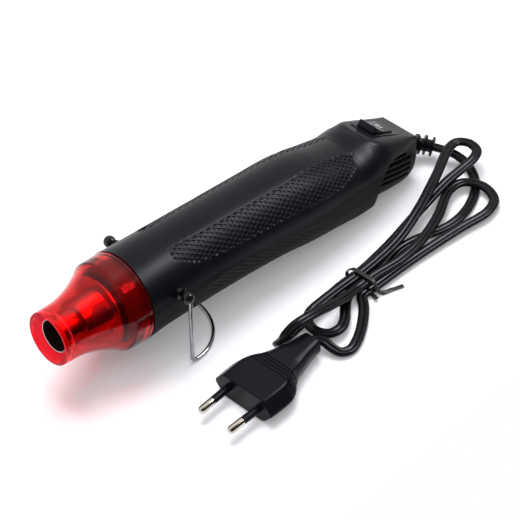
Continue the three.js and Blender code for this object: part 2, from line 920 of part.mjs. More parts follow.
function switchBody() {
  const half = (length, width, low, high) =>
    solidOf(block([-length / 2, -width / 2, low], [length / 2, width / 2, high]));
  const slots = [-1, 1].map((side) => {
    const middle = (side * terminalSpacing) / 2;
    const [thick, wide] = [terminalSize[0] / 2 + seatGap, terminalSize[1] / 2 + seatGap];
    const seat = terminalSeat - switchDepth;
    return solidOf(block([middle - thick, -wide, -switchDepth - 1], [middle + thick, wide, seat]));
  });
  return cutBy(
    joined(
      half(switchLength, switchWidth, -switchDepth, 1),
      half(bezelLength, bezelWidth, seatGap, seatGap + bezelHeight),
    ),
    half(wellLength, wellWidth, bezelHeight - wellDepth, bezelHeight + 5),
    ...slots,
  );
}

// The rocker is drawn level about its axle, and then tipped so that its front end stands up.
function switchRocker() {
  const lean = Math.tan(radians(rockerThrow));
  const crown = bezelHeight + axleDepth + 0.4;
  const outline = [
    [-rockerHalf, crown + rockerHalf * lean - rockerThickness],
    [0, crown - rockerThickness],
    [rockerHalf, crown + rockerHalf * lean - rockerThickness],
    [rockerHalf, crown + rockerHalf * lean],
    [0, crown],
    [-rockerHalf, crown + rockerHalf * lean],
  ];
  return sidePlate(outline, rockerWidth / 2).rotateY(radians(rockerThrow)).translate(0, 0, -axleDepth);
}

function terminal(side) {
  const [thick, wide, long] = terminalSize;
  const top = terminalSeat - switchDepth - seatGap;
  const middle = (side * terminalSpacing) / 2;
  return block([middle - thick / 2, -wide / 2, top - long], [middle + thick / 2, wide / 2, top]);
}

// Boot and lead

const bootStart = point(tailEnd + seatGap, 0, bootHeight);

// Path that leaves along +X, swings round to -Y by the turn and drops by the droop.
function arcPath(start, turn, droop, length, steps) {
  const path = [start.clone()];
  const at = start.clone();
  for (let k = 0; k < steps; k++) {
    const share = (k + 0.5) / steps;
    const yaw = -radians(turn) * Math.min(1, share * share * (3 - 2 * share) * 1.02);
    const pitch = -radians(droop) * share;
    const step = point(Math.cos(yaw) * Math.cos(pitch), Math.sin(yaw) * Math.cos(pitch), Math.sin(pitch));
    at.addScaledVector(step, length / steps);
    path.push(at.clone());
  }
  return path;
}

function strainRelief() {
  const ribSteps = 4;
  const steps = bootRibs * ribSteps;
  const path = arcPath(bootStart, bootTurn, bootDroop, bootLength, steps);
  const stops = [];
  const ahead = (distance) => point(bootStart.x + distance, 0, bootHeight);
  const wallInner = -tailWall - 2 * seatGap;
  stops.push([ahead(wallInner - bootBack), bootFlange], [ahead(wallInner), bootFlange]);
  stops.push([ahead(wallInner), bootNeck], [ahead(0), bootNeck]);
  stops.push([ahead(0), bootCollar], [ahead(bootFlangeThickness), bootCollar]);
  path.forEach((at, k) => {
    const along = (k * bootLength) / steps;
    if (along > bootFlangeThickness + 0.2) {
      const ribbed = along % bootRibPitch < bootRibLength;
      const rib = bootRib + ((bootRibEnd - bootRib) * along) / bootLength;
      stops.push([at, ribbed ? rib : bootCore]);
    }
  });
  const rings = [];
  stops.forEach(([at, radius], k) => {
    const before = stops[Math.max(k - 1, 0)][0];
    const after = stops[Math.min(k + 1, stops.length - 1)][0];
    const far = stops[Math.min(k + 2, stops.length - 1)][0];
    const along = (after.distanceTo(before) > 0.1 ? after : far).clone().sub(before).normalize();
    const side = point(0, 0, 1).cross(along).normalize();
    const up = along.clone().cross(side);
    rings.push(
      roundSection(radius, 12).map(([wide, high]) =>
        at.clone().addScaledVector(side, wide).addScaledVector(up, high),
      ),
    );
  });
  return { rings, end: path[steps], heading: path[steps].clone().sub(path[steps - 2]).normalize() };
}

// Flat twin section: two cores side by side, with a groove along the middle of each face.
function leadSection(width, thickness, groove) {
  const half = thickness / 2;
  const centre = (width - thickness) / 2;
  return [
    [centre + half, 0],
    [centre + half * 0.4, half],
    [0, half - groove],
    [-centre - half * 0.4, half],
    [-centre - half, 0],
    [-centre - half * 0.4, -half],
    [0, groove - half],
    [centre + half * 0.4, -half],
  ];
}

// Lanes of the hank at the tie, numbered from the tool's side: even ones on the table, odd ones on them.
const lane = (number) => ({
  y: tieLane + lanePitch * (1 - number / 2),
  z: laneHeight + (number % 2) * laneRise,
});

// One fold of the hank: out from the tie along one lane, round the tip, and back along another lane.
// The headings are those of its two strands, seen from above and pointing away from the tie.
// Lean tips the plane of the turn; lifts and bows bend the two strands up and aside.
function fold({ side, out, back, tip, radius, turn, headings, lean, lifts, bows }) {
  const [first, last] = headings.map((heading, k) => radians(heading + (k === 0 ? 90 : -90) * turn));
  const span = ((((last - first) * -turn) % (2 * Math.PI)) + 2 * Math.PI) % (2 * Math.PI);
  const centreLine = radians((headings[0] + headings[1]) / 2);
  const tipAt = (share) => {
    const angle = first - turn * span * share;
    const along = Math.cos(angle - centreLine) * radius;
    const aside = Math.sin(angle - centreLine) * radius;
    const flat = aside * Math.cos(radians(lean));
    return point(
      tip[0] + along * Math.cos(centreLine) - flat * Math.sin(centreLine),
      tip[1] + along * Math.sin(centreLine) + flat * Math.cos(centreLine),
      tip[2] + aside * Math.sin(radians(lean)),
    );
  };
  const root = (number) => point(tiePosition + side * tieHalfLength, lane(number).y, lane(number).z);
  const strand = (number, end, heading, lift, bow) => {
    const [from, length] = [root(number), root(number).distanceTo(end)];
    const leave = point(side * length, 0, 0);
    const arrive = point(Math.cos(radians(heading)), Math.sin(radians(heading)), 0).multiplyScalar(length);
    return [0.25, 0.5, 0.75].map((t) =>
      point(0, bow * Math.sin(Math.PI * t), lift * Math.sin(Math.PI * t))
        .addScaledVector(from, (1 + 2 * t) * (1 - t) ** 2)
        .addScaledVector(end, t * t * (3 - 2 * t))
        .addScaledVector(leave, t * (1 - t) ** 2)
        .addScaledVector(arrive, t * t * (t - 1)),
    );
  };
  return [
    ...strand(out, tipAt(0), headings[0], lifts[0], bows[0]),
    ...evenly(0, 1, 4).map(tipAt),
    ...strand(back, tipAt(1), headings[1], lifts[1], bows[1]).reverse(),
  ];
}

const boot = strainRelief();

function toWorld(at) {
  return at.clone().applyAxisAngle(point(0, 1, 0), tiltAngle).add(point(0, 0, noseHeight));
}

const leadStart = toWorld(boot.end.clone().addScaledVector(boot.heading, seatGap - leadSeat));
const leadExit = toWorld(boot.end.clone().addScaledVector(boot.heading, 1.5));
const plugHeading = point(Math.cos(radians(plugYaw)), Math.sin(radians(plugYaw)), 0);
const plugNeck = point(...plugPosition, plugHeight).addScaledVector(plugHeading, plugLength);
const leadEnd = plugNeck.clone().addScaledVector(plugHeading, seatGap - leadSeat);
const leadEntry = plugNeck.clone().addScaledVector(plugHeading, 2);

const fromBoot = [
  [254.6, -15.8, 8.2],
  [256.8, -22, 6.6],
  [257, -28, 4.8],
  [255, -34, 2.4],
  [250.5, -39.4, 1.7],
  [244.5, -43.8, 1.7],
  [237, -47.4, 1.7],
  [229, -49.9, 1.7],
  [219.5, -51, 1.7],
  [210, -50, 1.7],
  [202, -47.6, 1.7],
  [193.5, -45.6, 1.7],
  [184, -44.9, 1.7],
  [171, -47.2, 1.8],
];
const toPlug = [
  [141.5, -60, 1.8],
  [135, -65.4, 1.7],
  [128.5, -69.8, 1.7],
  [122, -73.2, 1.7],
  [115.8, -74.9, 1.8],
  [111, -73.2, 2.5],
  [108.8, -69.4, 4.4],
  [107.8, -65.4, 6.2],
];
const leftFoldLow = fold({
  side: -1,
  out: 2,
  back: 1,
  tip: [tiePosition - lowFoldReach, -55.6, 5.4],
  radius: 8.4,
  turn: 1,
  headings: [194, 188],
  lean: -6,
  lifts: [-0.8, 0],
  bows: [0, 0],
});
const rightFoldFar = fold({
  side: 1,
  out: 1,
  back: 0,
  tip: [tiePosition + farFoldReach, -25.4, 12.9],
  radius: 7.2,
  turn: 1,
  headings: [22, 5],
  lean: 4,
  lifts: [0, -1.9],
  bows: [-0.6, 2.8],
});
const leftFoldHigh = fold({
  side: -1,
  out: 0,
  back: 3,
  tip: [tiePosition - highFoldReach, -52.2, 9.4],
  radius: 8.2,
  turn: -1,
  headings: [186, 185],
  lean: 64,
  lifts: [-0.5, 1],
  bows: [0, -2],
});
const rightFoldNear = fold({
  side: 1,
  out: 3,
  back: 4,
  tip: [tiePosition + nearFoldReach, -47.2, 4.8],
  radius: 12,
  turn: 1,
  headings: [20, -4],
  lean: 5,
  lifts: [-0.5, 0],
  bows: [-3.1, 0.4],
});

const across = (side, number) => point(tiePosition + side * tieHalfLength, lane(number).y, lane(number).z);
const leadRoute = [
  leadStart,
  leadExit,
  ...fromBoot.map((at) => point(...at)),
  ...[1, 0, -1].map((side) => across(side, 2)),
  ...leftFoldLow,
  ...[-1, 0, 1].map((side) => across(side, 1)),
  ...rightFoldFar,
  ...[1, 0, -1].map((side) => across(side, 0)),
  ...leftFoldHigh,
  ...[-1, 0, 1].map((side) => across(side, 3)),
  ...rightFoldNear,
  ...[1, 0, -1].map((side) => across(side, 4)),
  ...toPlug.map((at) => point(...at)),
  leadEntry,
  leadEnd,
];

const leadCurve = new THREE.CatmullRomCurve3(leadRoute, false, "centripetal");

// Least gap of the lead to itself, between points on its surface that are far apart along it.
function leastGap(rings, spacing, apart) {
  let least = Infinity;
  const skip = Math.ceil(apart / spacing);
  const near = 2 * leadWidth;
  for (let i = 0; i < rings.length; i++) {
    for (let j = i + skip; j < rings.length; j++) {
      if (rings[i][0].distanceTo(rings[j][0]) < near) {
        const gaps = rings[i].flatMap((a) => rings[j].map((b) => a.distanceTo(b)));
        least = Math.min(least, ...gaps);
      }
    }
  }
  return least;
}

// Spacing of the points on which the gap is measured, and how far apart along the lead they have to be
const gapSpacing = 1.2;
const gapApart = 14;
const leadSteps = 146;

function leadRings(steps) {
  const section = leadSection(leadWidth, leadThickness, leadGroove);
  return tubeRings(leadCurve.getSpacedPoints(steps), section);
}

// Socket in the end of the boot, in which the lead is seated.
function bootSocket() {
  const socket = leadSection(leadWidth + 2 * seatGap, leadThickness + 2 * seatGap, 0);
  const from = boot.end.clone().addScaledVector(boot.heading, -leadSeat);
  const to = boot.end.clone().addScaledVector(boot.heading, leadSeat);
  return solidOf(loft(tubeRings([from, to], socket)));
}

// Twist tie: a strip once round the hank, with its two ends twisted out at the side.
function twistTie() {
  const room = 0.5 + tieThickness / 2;
  const outer = lane(0).y + leadWidth / 2 + room;
  const inner = lane(4).y - leadWidth / 2 - room;
  const top = lane(1).z + leadThickness / 2 + room;
  const upperOuter = lane(1).y + leadWidth / 2;
  const upperInner = lane(3).y - leadWidth / 2;
  const low = tieThickness / 2 + 0.2;
  const offsets = [
    [15, inner - 4.6, 0.6],
    [8.5, inner - 2.4, 0.6],
    [3, inner - 1, 1.4],
    [1.4, inner - 0.2, 3.4],
    [1.1, upperInner - 0.6, top - 0.4],
    [0.9, upperInner + 2, top],
    [0.6, upperOuter - 2, top],
    [0.4, upperOuter + 0.6, top - 0.4],
    [0.2, outer + 0.1, 4.4],
    [0.1, outer, 2.2],
    [0, outer - 0.7, 0.9],
    [-0.2, outer - 2.4, low],
    [-0.5, inner + 3, low],
    [-0.8, inner + 1.2, 0.9],
    [-1.6, inner - 0.8, 1.7],
    [-2.2, inner - 2.6, 2],
  ];
  const path = new THREE.CatmullRomCurve3(offsets.map(([x, y, z]) => point(tiePosition + x, y, z)));
  const places = path.getSpacedPoints(36);
  const rings = places.map((at, k) => {
    const along = places[Math.min(k + 1, 36)].clone().sub(places[Math.max(k - 1, 0)]).normalize();
    const wide = point(1, 0, 0).addScaledVector(along, -along.x).normalize();
    const thick = along.clone().cross(wide);
    return [[-1, -1], [1, -1], [1, 1], [-1, 1]].map(([w, t]) =>
      at.clone()
        .addScaledVector(wide, (w * tieWidth) / 2)
        .addScaledVector(thick, (t * tieThickness) / 2),
    );
  });
  return loft(rings);
}

// Plug, drawn with its face at x = 0 and its pins toward -X

// Ring of the plug: a flat hexagon along its body, which rounds off over its waist.
function plugRing(x, half, thick) {
  const [waistStart, waistEnd] = plugWaist;
  const rounded = Math.min(Math.max((x - waistStart) / (waistEnd - waistStart), 0), 1);
  const quarter = plugBodyCorner.map(([across, up], k) => [
    across + (plugNeckCorner[k][0] - across) * rounded,
    up + (plugNeckCorner[k][1] - up) * rounded,
  ]);
  const upper = [...quarter, ...quarter.map(([across, up]) => [-across, up]).reverse()];
  const lower = upper.map(([across, up]) => [-across, -up]);
  return [...upper, ...lower].map(([across, up]) => point(x, half * across, thick * up));
}

function plugBody() {
  const half = through(plugStations, 1);
  const thick = through(plugStations, 2);
  const ringAt = (x, inset) => plugRing(x, half(x) - inset, thick(x) - inset);
  const places = plugStations.map(([x]) => x);
  const groovesEnd = plugGrooveStart + (plugGrooves - 1) * plugGroovePitch + plugGrooveLength;
  const rings = places.filter((x) => x < plugGrooveStart).map((x) => ringAt(x, 0));
  for (let k = 0; k < plugGrooves; k++) {
    const start = plugGrooveStart + k * plugGroovePitch;
    const end = start + plugGrooveLength;
    rings.push(ringAt(start, 0), ringAt(start + 0.2, plugGrooveDepth));
    rings.push(ringAt(end - 0.2, plugGrooveDepth), ringAt(end, 0));
  }
  rings.push(...places.filter((x) => x > groovesEnd && x < plugLength).map((x) => ringAt(x, 0)));
  rings.push(ringAt(plugLength - 0.6, 0), ringAt(plugLength, 0.6));
  const socket = leadSection(leadWidth + 2 * seatGap, leadThickness + 2 * seatGap, 0);
  const socketRings = [plugLength - leadSeat, plugLength + 3].map((x) =>
    socket.map(([wide, high]) => point(x, wide, high)),
  );
  const holes = [-1, 1].map((side) =>
    solidOf(rod(-2, pinSeat + seatGap, pinCore + seatGap).translate(0, (side * pinSpacing) / 2, 0)),
  );
  return cutBy(solidOf(loft(rings)), solidOf(loft(socketRings)), ...holes);
}

const plugPin = () =>
  revolve(
    [
      [pinSeat, 0],
      [pinSeat, pinCore],
      [-sleeveLength - seatGap, pinCore],
      [-sleeveLength - seatGap, pinRadius],
      [1.4 - pinLength, pinRadius],
      [0.4 - pinLength, pinRadius * 0.7],
      [-pinLength, 0],
    ],
    smallSides,
  );
const pinSleeve = () => pipe(-sleeveLength, -seatGap, pinCore + seatGap / 2, sleeveRadius, smallSides);

// Stand

const bushFlangeStart = casingWidth(standPosition) + seatGap;
const bushEnd = bushFlangeStart + bushReach;
const legSpread = bushEnd + seatGap + legBend;
const standPivot = toWorld(point(standPosition, 0, standHeight));

// Stand wire about its pivot: out of the bushes, down both legs, and round a half oval foot on the table.
function standWireForm() {
  const bend = (centre, radius, from, to) =>
    evenly(0, Math.PI / 2, 4).map((angle) =>
      centre
        .clone()
        .addScaledVector(from, radius * Math.cos(angle))
        .addScaledVector(to, radius * Math.sin(angle)),
    );
  const footHeight = standWire - standPivot.z;
  const legTop = point(0, legBend - legSpread, -legBend);
  const legFoot = point(footBend, -legSpread, footHeight + footBend);
  const side = [
    point(0, -pivotInner, 0),
    ...bend(legTop, legBend, point(0, 0, 1), point(0, -1, 0)),
    ...bend(legFoot, footBend, point(-1, 0, 0), point(0, 0, -1)),
  ];
  const depth = footReach - footBend;
  const foot = evenly(0, Math.PI, 18)
    .slice(1, -1)
    .map((angle) => point(footBend + depth * Math.sin(angle), -legSpread * Math.cos(angle), footHeight));
  const other = side.map((at) => point(at.x, -at.y, at.z)).reverse();
  const path = [...side, ...foot, ...other];
  let across = point(1, 0, 0);
  const rings = path.map((at, k) => {
    const along = path[Math.min(k + 1, path.length - 1)].clone().sub(path[Math.max(k - 1, 0)]).normalize();
    across = across.clone().addScaledVector(along, -across.dot(along)).normalize();
    const up = along.clone().cross(across);
    return roundSection(standWire, 8).map(([wide, high]) =>
      at.clone().addScaledVector(across, wide).addScaledVector(up, high),
    );
  });
  return loft(rings);
}

// Bush about its own axis, which points out of the casing.
function standBush() {
  const flangeEnd = bushFlangeStart + bushFlangeThickness;
  const bushStart = pivotInner + bushLap;
  const bore = standWire + seatGap;
  return revolve(
    [
      [bushStart, bore],
      [bushStart, bushShank],
      [bushFlangeStart, bushShank],
      [bushFlangeStart, bushFlange],
      [flangeEnd, bushFlange],
      [flangeEnd + seatGap, bushDome],
      [bushEnd - bushDomeRound, bushDome * 0.9],
      [bushEnd, bushDome * 0.65],
      [bushEnd, bore],
    ],
    14,
  );
}

// Wiring

function wireThrough(places, radius, steps) {
  const curve = new THREE.CatmullRomCurve3(places.map((at) => point(...at)), false, "centripetal");
  return loft(tubeRings(curve.getSpacedPoints(steps), roundSection(radius, 6)));
}

function terminalFoot(side) {
  const foot = terminalSeat - switchDepth - seatGap - terminalSize[2];
  return point((side * terminalSpacing) / 2, 0, foot)
    .applyAxisAngle(point(0, 1, 0), platformAngle)
    .add(point(switchPosition, 0, platformAt(switchPosition)));
}

const innerLeadHeight = clampHeight - seatGap - leadThickness / 2;
const innerLeadStart = clampPosition - 1;
const boardTop = boardHeight + boardThickness;

function innerLead() {
  const section = leadSection(leadWidth, leadThickness, leadGroove);
  const end = bootStart.x - tailWall - bootBack - 3 * seatGap;
  const rise = bootHeight - innerLeadHeight;
  const rings = evenly(0, 1, 6).map((t) => {
    const ease = t < 0.4 ? 0 : ((t - 0.4) / 0.6) ** 2 * (3 - 2 * ((t - 0.4) / 0.6));
    const x = innerLeadStart + (end - innerLeadStart) * t;
    return section.map(([wide, high]) => point(x, wide, innerLeadHeight + rise * ease + high));
  });
  return loft(rings);
}

function leads() {
  const spread = (leadWidth - leadThickness) / 2;
  const lug = terminalFoot(-1);
  const boardEdge = boardStart + boardLength;
  const start = innerLeadStart - seatGap;
  return {
    live_lead: wireThrough(
      [
        [start, -spread, innerLeadHeight],
        [start - 6, -spread - 1, innerLeadHeight + 1],
        [lug.x - 7, -2, -5],
        [lug.x - 2, -1, lug.z - 4],
        [lug.x, 0, lug.z - seatGap],
      ],
      wireRadius,
      16,
    ),
    neutral_lead: wireThrough(
      [
        [start, spread, innerLeadHeight],
        [start - 6, spread + 2, innerLeadHeight + 2],
        [boardEdge + 2, spread + 4, boardTop + 4],
        [boardEdge - 3, spread + 4.5, boardTop + 3],
        [boardEdge - 4, spread + 4.5, boardTop + seatGap],
      ],
      wireRadius,
      16,
    ),
  };
}

function cordClamp() {
  const bar = block(
    [clampPosition, -clampHalf, clampHeight],
    [clampPosition + clampLength, clampHalf, clampHeight + clampThickness],
  );
  const holes = [-1, 1].map((side) =>
    solidOf(
      rod(-10, 10, clampScrewShank + seatGap)
        .rotateY(Math.PI / 2)
        .translate(clampPosition + clampLength / 2, side * clampScrewSpacing, clampHeight),
    ),
  );
  return cutBy(solidOf(bar), ...holes);
}

function clampScrew() {
  const top = clampThickness + seatGap;
  return revolve(
    [
      [-top - 1.4, 0],
      [-top - 1.4, clampScrewHead * 0.8],
      [-top - 0.7, clampScrewHead],
      [-top, clampScrewHead],
      [-top, clampScrewShank],
      [clampScrewReach - 1, clampScrewShank],
      [clampScrewReach, 0],
    ],
    smallSides,
  );
}

function shellScrew() {
  const seat = screwSeat + seatGap;
  return revolve(
    [
      [seat + screwHeadThickness, 0],
      [seat + screwHeadThickness, screwHead * 0.75],
      [seat + screwHeadThickness * 0.6, screwHead],
      [seat, screwHead],
      [seat, screwShank],
      [screwShank - screwReach, screwShank],
      [-screwReach, 0],
    ],
    smallSides,
  );
}

// Component of the supply board, with the middle of its foot at the origin.
function component([length, width, height]) {
  return block([-length / 2, -width / 2, 0], [length / 2, width / 2, height]);
}

// Finishes

const finish = (color, roughness, metalness = 0) =>
  new THREE.MeshStandardMaterial({ color, roughness, metalness });
const casingPlastic = finish(0x1b1b1e, 0.5);
const guardPlastic = finish(0xc01418, 0.2);
const tubeSteel = finish(0xb8b4ae, 0.35, 1);
const standChrome = finish(0xd8d8da, 0.15, 1);
const darkCeramic = finish(0x2a2726, 0.7);
const micaSheet = finish(0xb9a77c, 0.6);
const heaterWire = finish(0x8a8580, 0.45, 1);
const motorSteel = finish(0x9b9da0, 0.4, 1);
const fanPlastic = finish(0x30343a, 0.5);
const switchPlastic = finish(0x151517, 0.3);
const terminalBrass = finish(0xc9a24a, 0.35, 1);
const boardResin = finish(0x2d6a3a, 0.55);
const leadPvc = finish(0x17171a, 0.45);
const plugPlastic = finish(0x161618, 0.4);
const pinNickel = finish(0xc9c2b4, 0.25, 1);
const screwSteel = finish(0x8f9194, 0.35, 1);

// Assembly

const tool = new THREE.Group();
tool.name = "hot_air_tool";
const level = new THREE.Group();
tool.add(level);

// The tool's own pieces are tipped nose up; the stand, the lead and the plug are set on the table.
const tipped = new THREE.Group();
tipped.rotation.y = tiltAngle;
tipped.position.z = noseHeight;
const onSlope = new THREE.Group();
onSlope.rotation.y = platformAngle;
onSlope.position.set(switchPosition, 0, platformAt(switchPosition));
tipped.add(onSlope);
const stand = new THREE.Group();
stand.position.copy(standPivot);
const plug = new THREE.Group();
plug.rotation.z = radians(plugYaw);
plug.position.set(...plugPosition, plugHeight);
level.add(tipped, stand, plug);

function place(group, name, shape, material) {
  const solid = shape instanceof THREE.BufferGeometry ? solidOf(shape) : shape;
  const mesh = new THREE.Mesh(geometryOf(solid), material);
  mesh.name = name;
  group.add(mesh);
  return mesh;
}

const shells = halfCasings();
place(tipped, "left_shell", shells.left_shell, casingPlastic);
place(tipped, "right_shell", shells.right_shell, casingPlastic);
place(tipped, "nozzle_guard", revolve(guardOutline()), guardPlastic);
place(tipped, "nozzle_tube", nozzleTube(), tubeSteel);
place(tipped, "insulator_ring", insulatorRing(), darkCeramic);
place(tipped, "heat_shield", pipe(ringFront, shieldEnd, shieldRadius - shieldWall, shieldRadius), tubeSteel);
place(tipped, "mica_core", micaCore(), micaSheet);
place(tipped, "heater_coil", heaterCoil(), heaterWire);
const cutoutOffset = coreThickness / 2 + seatGap + cutoutRadius;
place(tipped, "thermal_cutout", rod(0, cutoutLength, cutoutRadius), terminalBrass)
  .position.set(cutoutPosition, cutoutOffset, cutoutOffset);
place(tipped, "fan_duct", fanDuct(), fanPlastic);
place(tipped, "fan_impeller", fanImpeller(), fanPlastic);
place(tipped, "motor_shaft", rod(fanFront + shaftGap, capEnd + shaftTail, shaftRadius), screwSteel);
place(tipped, "motor_can", motorCan(), motorSteel);
place(tipped, "motor_end_cap", motorEndCap(), fanPlastic);
place(tipped, "rectifier_board", component([boardLength, 2 * boardHalf, boardThickness]), boardResin)
  .position.set(boardStart + boardLength / 2, 0, boardHeight);
place(tipped, "capacitor", component(capacitorSize), fanPlastic)
  .position.set(...capacitorPosition, boardTop + seatGap);
place(tipped, "bridge_rectifier", component(bridgeSize), switchPlastic)
  .position.set(...bridgePosition, boardTop + seatGap);
place(onSlope, "switch_body", switchBody(), switchPlastic);
place(onSlope, "switch_rocker", switchRocker(), switchPlastic);
place(onSlope, "switch_terminal_front", terminal(-1), terminalBrass);
place(onSlope, "switch_terminal_rear", terminal(1), terminalBrass);
const wires = leads();
place(tipped, "live_lead", wires.live_lead, leadPvc);
place(tipped, "neutral_lead", wires.neutral_lead, leadPvc);
place(tipped, "inner_lead", innerLead(), leadPvc);
place(tipped, "cord_clamp", cordClamp(), fanPlastic);
for (const [name, side] of [["left", -1], ["right", 1]]) {
  const screw = place(tipped, `clamp_screw_${name}`, clampScrew(), screwSteel);
  screw.rotation.y = Math.PI / 2;
  screw.position.set(clampPosition + clampLength / 2, side * clampScrewSpacing, clampHeight);
  const bush = place(tipped, `stand_bush_${name}`, standBush(), casingPlastic);
  bush.rotation.z = (side * Math.PI) / 2;
  bush.position.set(standPosition, 0, standHeight);
}
screwPlaces.forEach(([x, z], k) => {
  const screw = place(tipped, `shell_screw_${k + 1}`, shellScrew(), screwSteel);
  screw.rotation.z = Math.PI / 2;
  screw.position.set(x, 0, z);
});
place(stand, "stand_wire", standWireForm(), standChrome);

// The origin is under the middle of the tool's box, without the lead and what hangs on it.
const box = new THREE.Box3().setFromObject(level, true);
const middle = (box.min.x + box.max.x) / 2;
level.position.x = -middle;

place(tipped, "strain_relief", solidOf(loft(boot.rings)).subtract(bootSocket()), leadPvc);
place(level, "cord", loft(leadRings(leadSteps)), leadPvc);
place(level, "twist_tie", twistTie(), leadPvc);
place(plug, "plug_body", plugBody(), plugPlastic);
for (const [name, side] of [["left", -1], ["right", 1]]) {
  const pair = new THREE.Group();
  pair.rotation.z = side * radians(pinToe);
  pair.position.y = (side * pinSpacing) / 2;
  plug.add(pair);
  place(pair, `plug_pin_${name}`, plugPin(), pinNickel);
  place(pair, `pin_sleeve_${name}`, pinSleeve(), plugPlastic);
}

const fineRings = leadRings(Math.round(leadCurve.getLength() / gapSpacing));
const least = leastGap(fineRings, gapSpacing, gapApart);
console.log(`lead ${leadCurve.getLength().toFixed(0)} mm long; least gap to itself ${least.toFixed(2)} mm`);
console.log(`origin moved ${middle.toFixed(3)} mm along the tool; nose ${noseHeight.toFixed(3)} mm up`);

export default tool;
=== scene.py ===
"""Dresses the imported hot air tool: casing with its grip, see-through guard, stand, switch, lead and plug.

Lengths in the classes are millimetres, as on a drawing, and the Workshop turns them into metres in the row
frame. Angles round the casing are degrees from the far side, over the top, to the side where the lead lies.
"""

from __future__ import annotations

import json
import logging
import math
from dataclasses import dataclass, field
from enum import Enum
from functools import cache
from typing import Callable, Iterable, Sequence

import bmesh
import bpy
from mathutils import Matrix, Vector

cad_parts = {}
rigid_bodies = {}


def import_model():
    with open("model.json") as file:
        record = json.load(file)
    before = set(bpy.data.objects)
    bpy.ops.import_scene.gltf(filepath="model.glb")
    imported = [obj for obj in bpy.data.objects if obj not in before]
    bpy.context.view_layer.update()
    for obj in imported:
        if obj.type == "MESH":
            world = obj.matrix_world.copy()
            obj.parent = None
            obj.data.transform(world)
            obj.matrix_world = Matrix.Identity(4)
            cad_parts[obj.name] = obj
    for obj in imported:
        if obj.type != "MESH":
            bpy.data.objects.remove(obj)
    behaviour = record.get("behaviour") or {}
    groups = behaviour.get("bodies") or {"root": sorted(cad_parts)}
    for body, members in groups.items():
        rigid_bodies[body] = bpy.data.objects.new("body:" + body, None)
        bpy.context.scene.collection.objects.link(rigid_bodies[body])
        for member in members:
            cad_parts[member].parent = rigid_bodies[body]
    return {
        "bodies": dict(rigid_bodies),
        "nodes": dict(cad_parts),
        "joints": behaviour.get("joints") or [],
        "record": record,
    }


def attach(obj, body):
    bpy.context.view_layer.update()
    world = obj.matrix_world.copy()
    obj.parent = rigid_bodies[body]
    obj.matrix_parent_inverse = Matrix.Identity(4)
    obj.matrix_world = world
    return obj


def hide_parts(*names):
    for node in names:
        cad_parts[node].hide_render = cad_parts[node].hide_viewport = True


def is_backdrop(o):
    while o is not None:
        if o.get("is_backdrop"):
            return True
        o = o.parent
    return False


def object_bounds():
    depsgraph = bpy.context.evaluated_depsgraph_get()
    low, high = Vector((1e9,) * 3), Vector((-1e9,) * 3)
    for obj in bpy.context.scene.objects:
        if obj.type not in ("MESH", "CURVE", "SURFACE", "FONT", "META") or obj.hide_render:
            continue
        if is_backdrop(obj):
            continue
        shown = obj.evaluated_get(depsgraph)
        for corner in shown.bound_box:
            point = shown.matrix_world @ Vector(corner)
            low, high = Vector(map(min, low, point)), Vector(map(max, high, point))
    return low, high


MM = 0.001
# The tool's own up, in the row frame
UP = (0.069756, 0.0, 0.997564)
# Corners closer than this are one
WELD = 1e-5
log = logging.getLogger("hot_air_tool")

Mesh = bmesh.types.BMesh
Socket = bpy.types.NodeSocket
Row = tuple[float, ...]
Place = Callable[[float, float], Vector]


class Body(Enum):
    """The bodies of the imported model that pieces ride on."""

    HOUSING = "housing"
    STAND = "stand"
    ROCKER = "rocker"


class Cut(Enum):
    """How one closed solid acts on another."""

    JOIN = "UNION"
    TAKE_AWAY = "DIFFERENCE"
    KEEP_COMMON = "INTERSECT"


# Curves and numbers


def smooth_step(low: float, high: float, value: float) -> float:
    """Returns 0 below low, 1 above high and a smooth rise between."""
    share = min(max((value - low) / (high - low), 0.0), 1.0)
    return share * share * (3 - 2 * share)


def smooth_max(first: float, second: float, blend: float) -> float:
    """Returns the greater of two heights, with a fillet of about the blend's size where they are equal."""
    near = max(blend - abs(first - second), 0.0) / blend
    return max(first, second) + near * near * blend / 4


def evenly(start: float, end: float, steps: int) -> list[float]:
    """Returns steps + 1 values from start to end."""
    return [start + (end - start) * k / steps for k in range(steps + 1)]


def through(rows: Sequence[Row], column: int) -> Callable[[float], float]:
    """Makes a smooth value through one column of a table.

    Args:
        rows: Rows that start with a position, in rising order.
        column: The column of the value.

    Returns:
        A function of position, constant past both ends.
    """
    last = len(rows) - 1

    def slope(k: int) -> float:
        """Returns the slope at a row, from its neighbours."""
        low, high = rows[max(k - 1, 0)], rows[min(k + 1, last)]
        return (high[column] - low[column]) / (high[0] - low[0])

    @cache
    def value(position: float) -> float:
        """Returns the value.

        Args:
            position: Where it is read.

        Returns:
            The value there.
        """
        x = min(max(position, rows[0][0]), rows[last][0])
        k = next((i for i in range(last) if rows[i + 1][0] >= x), last - 1)
        low, high = rows[k], rows[k + 1]
        span = high[0] - low[0]
        t = (x - low[0]) / span
        rise = (high[column] - low[column]) * t * t * (3 - 2 * t)
        return low[column] + rise + span * t * (1 - t) * (slope(k) * (1 - t) - slope(k + 1) * t)

    return value


def between(rows: Sequence[Row], column: int, position: float) -> float:
    """Reads one column of a table in straight stretches.

    Args:
        rows: Rows that start with a position, in rising order.
        column: The column of the value.
        position: Where it is read.

    Returns:
        The value, constant past both ends.
    """
    for low, high in zip(rows, rows[1:]):
        if position <= high[0]:
            share = max((position - low[0]) / (high[0] - low[0]), 0.0)
            return low[column] + (high[column] - low[column]) * share
    return rows[-1][column]


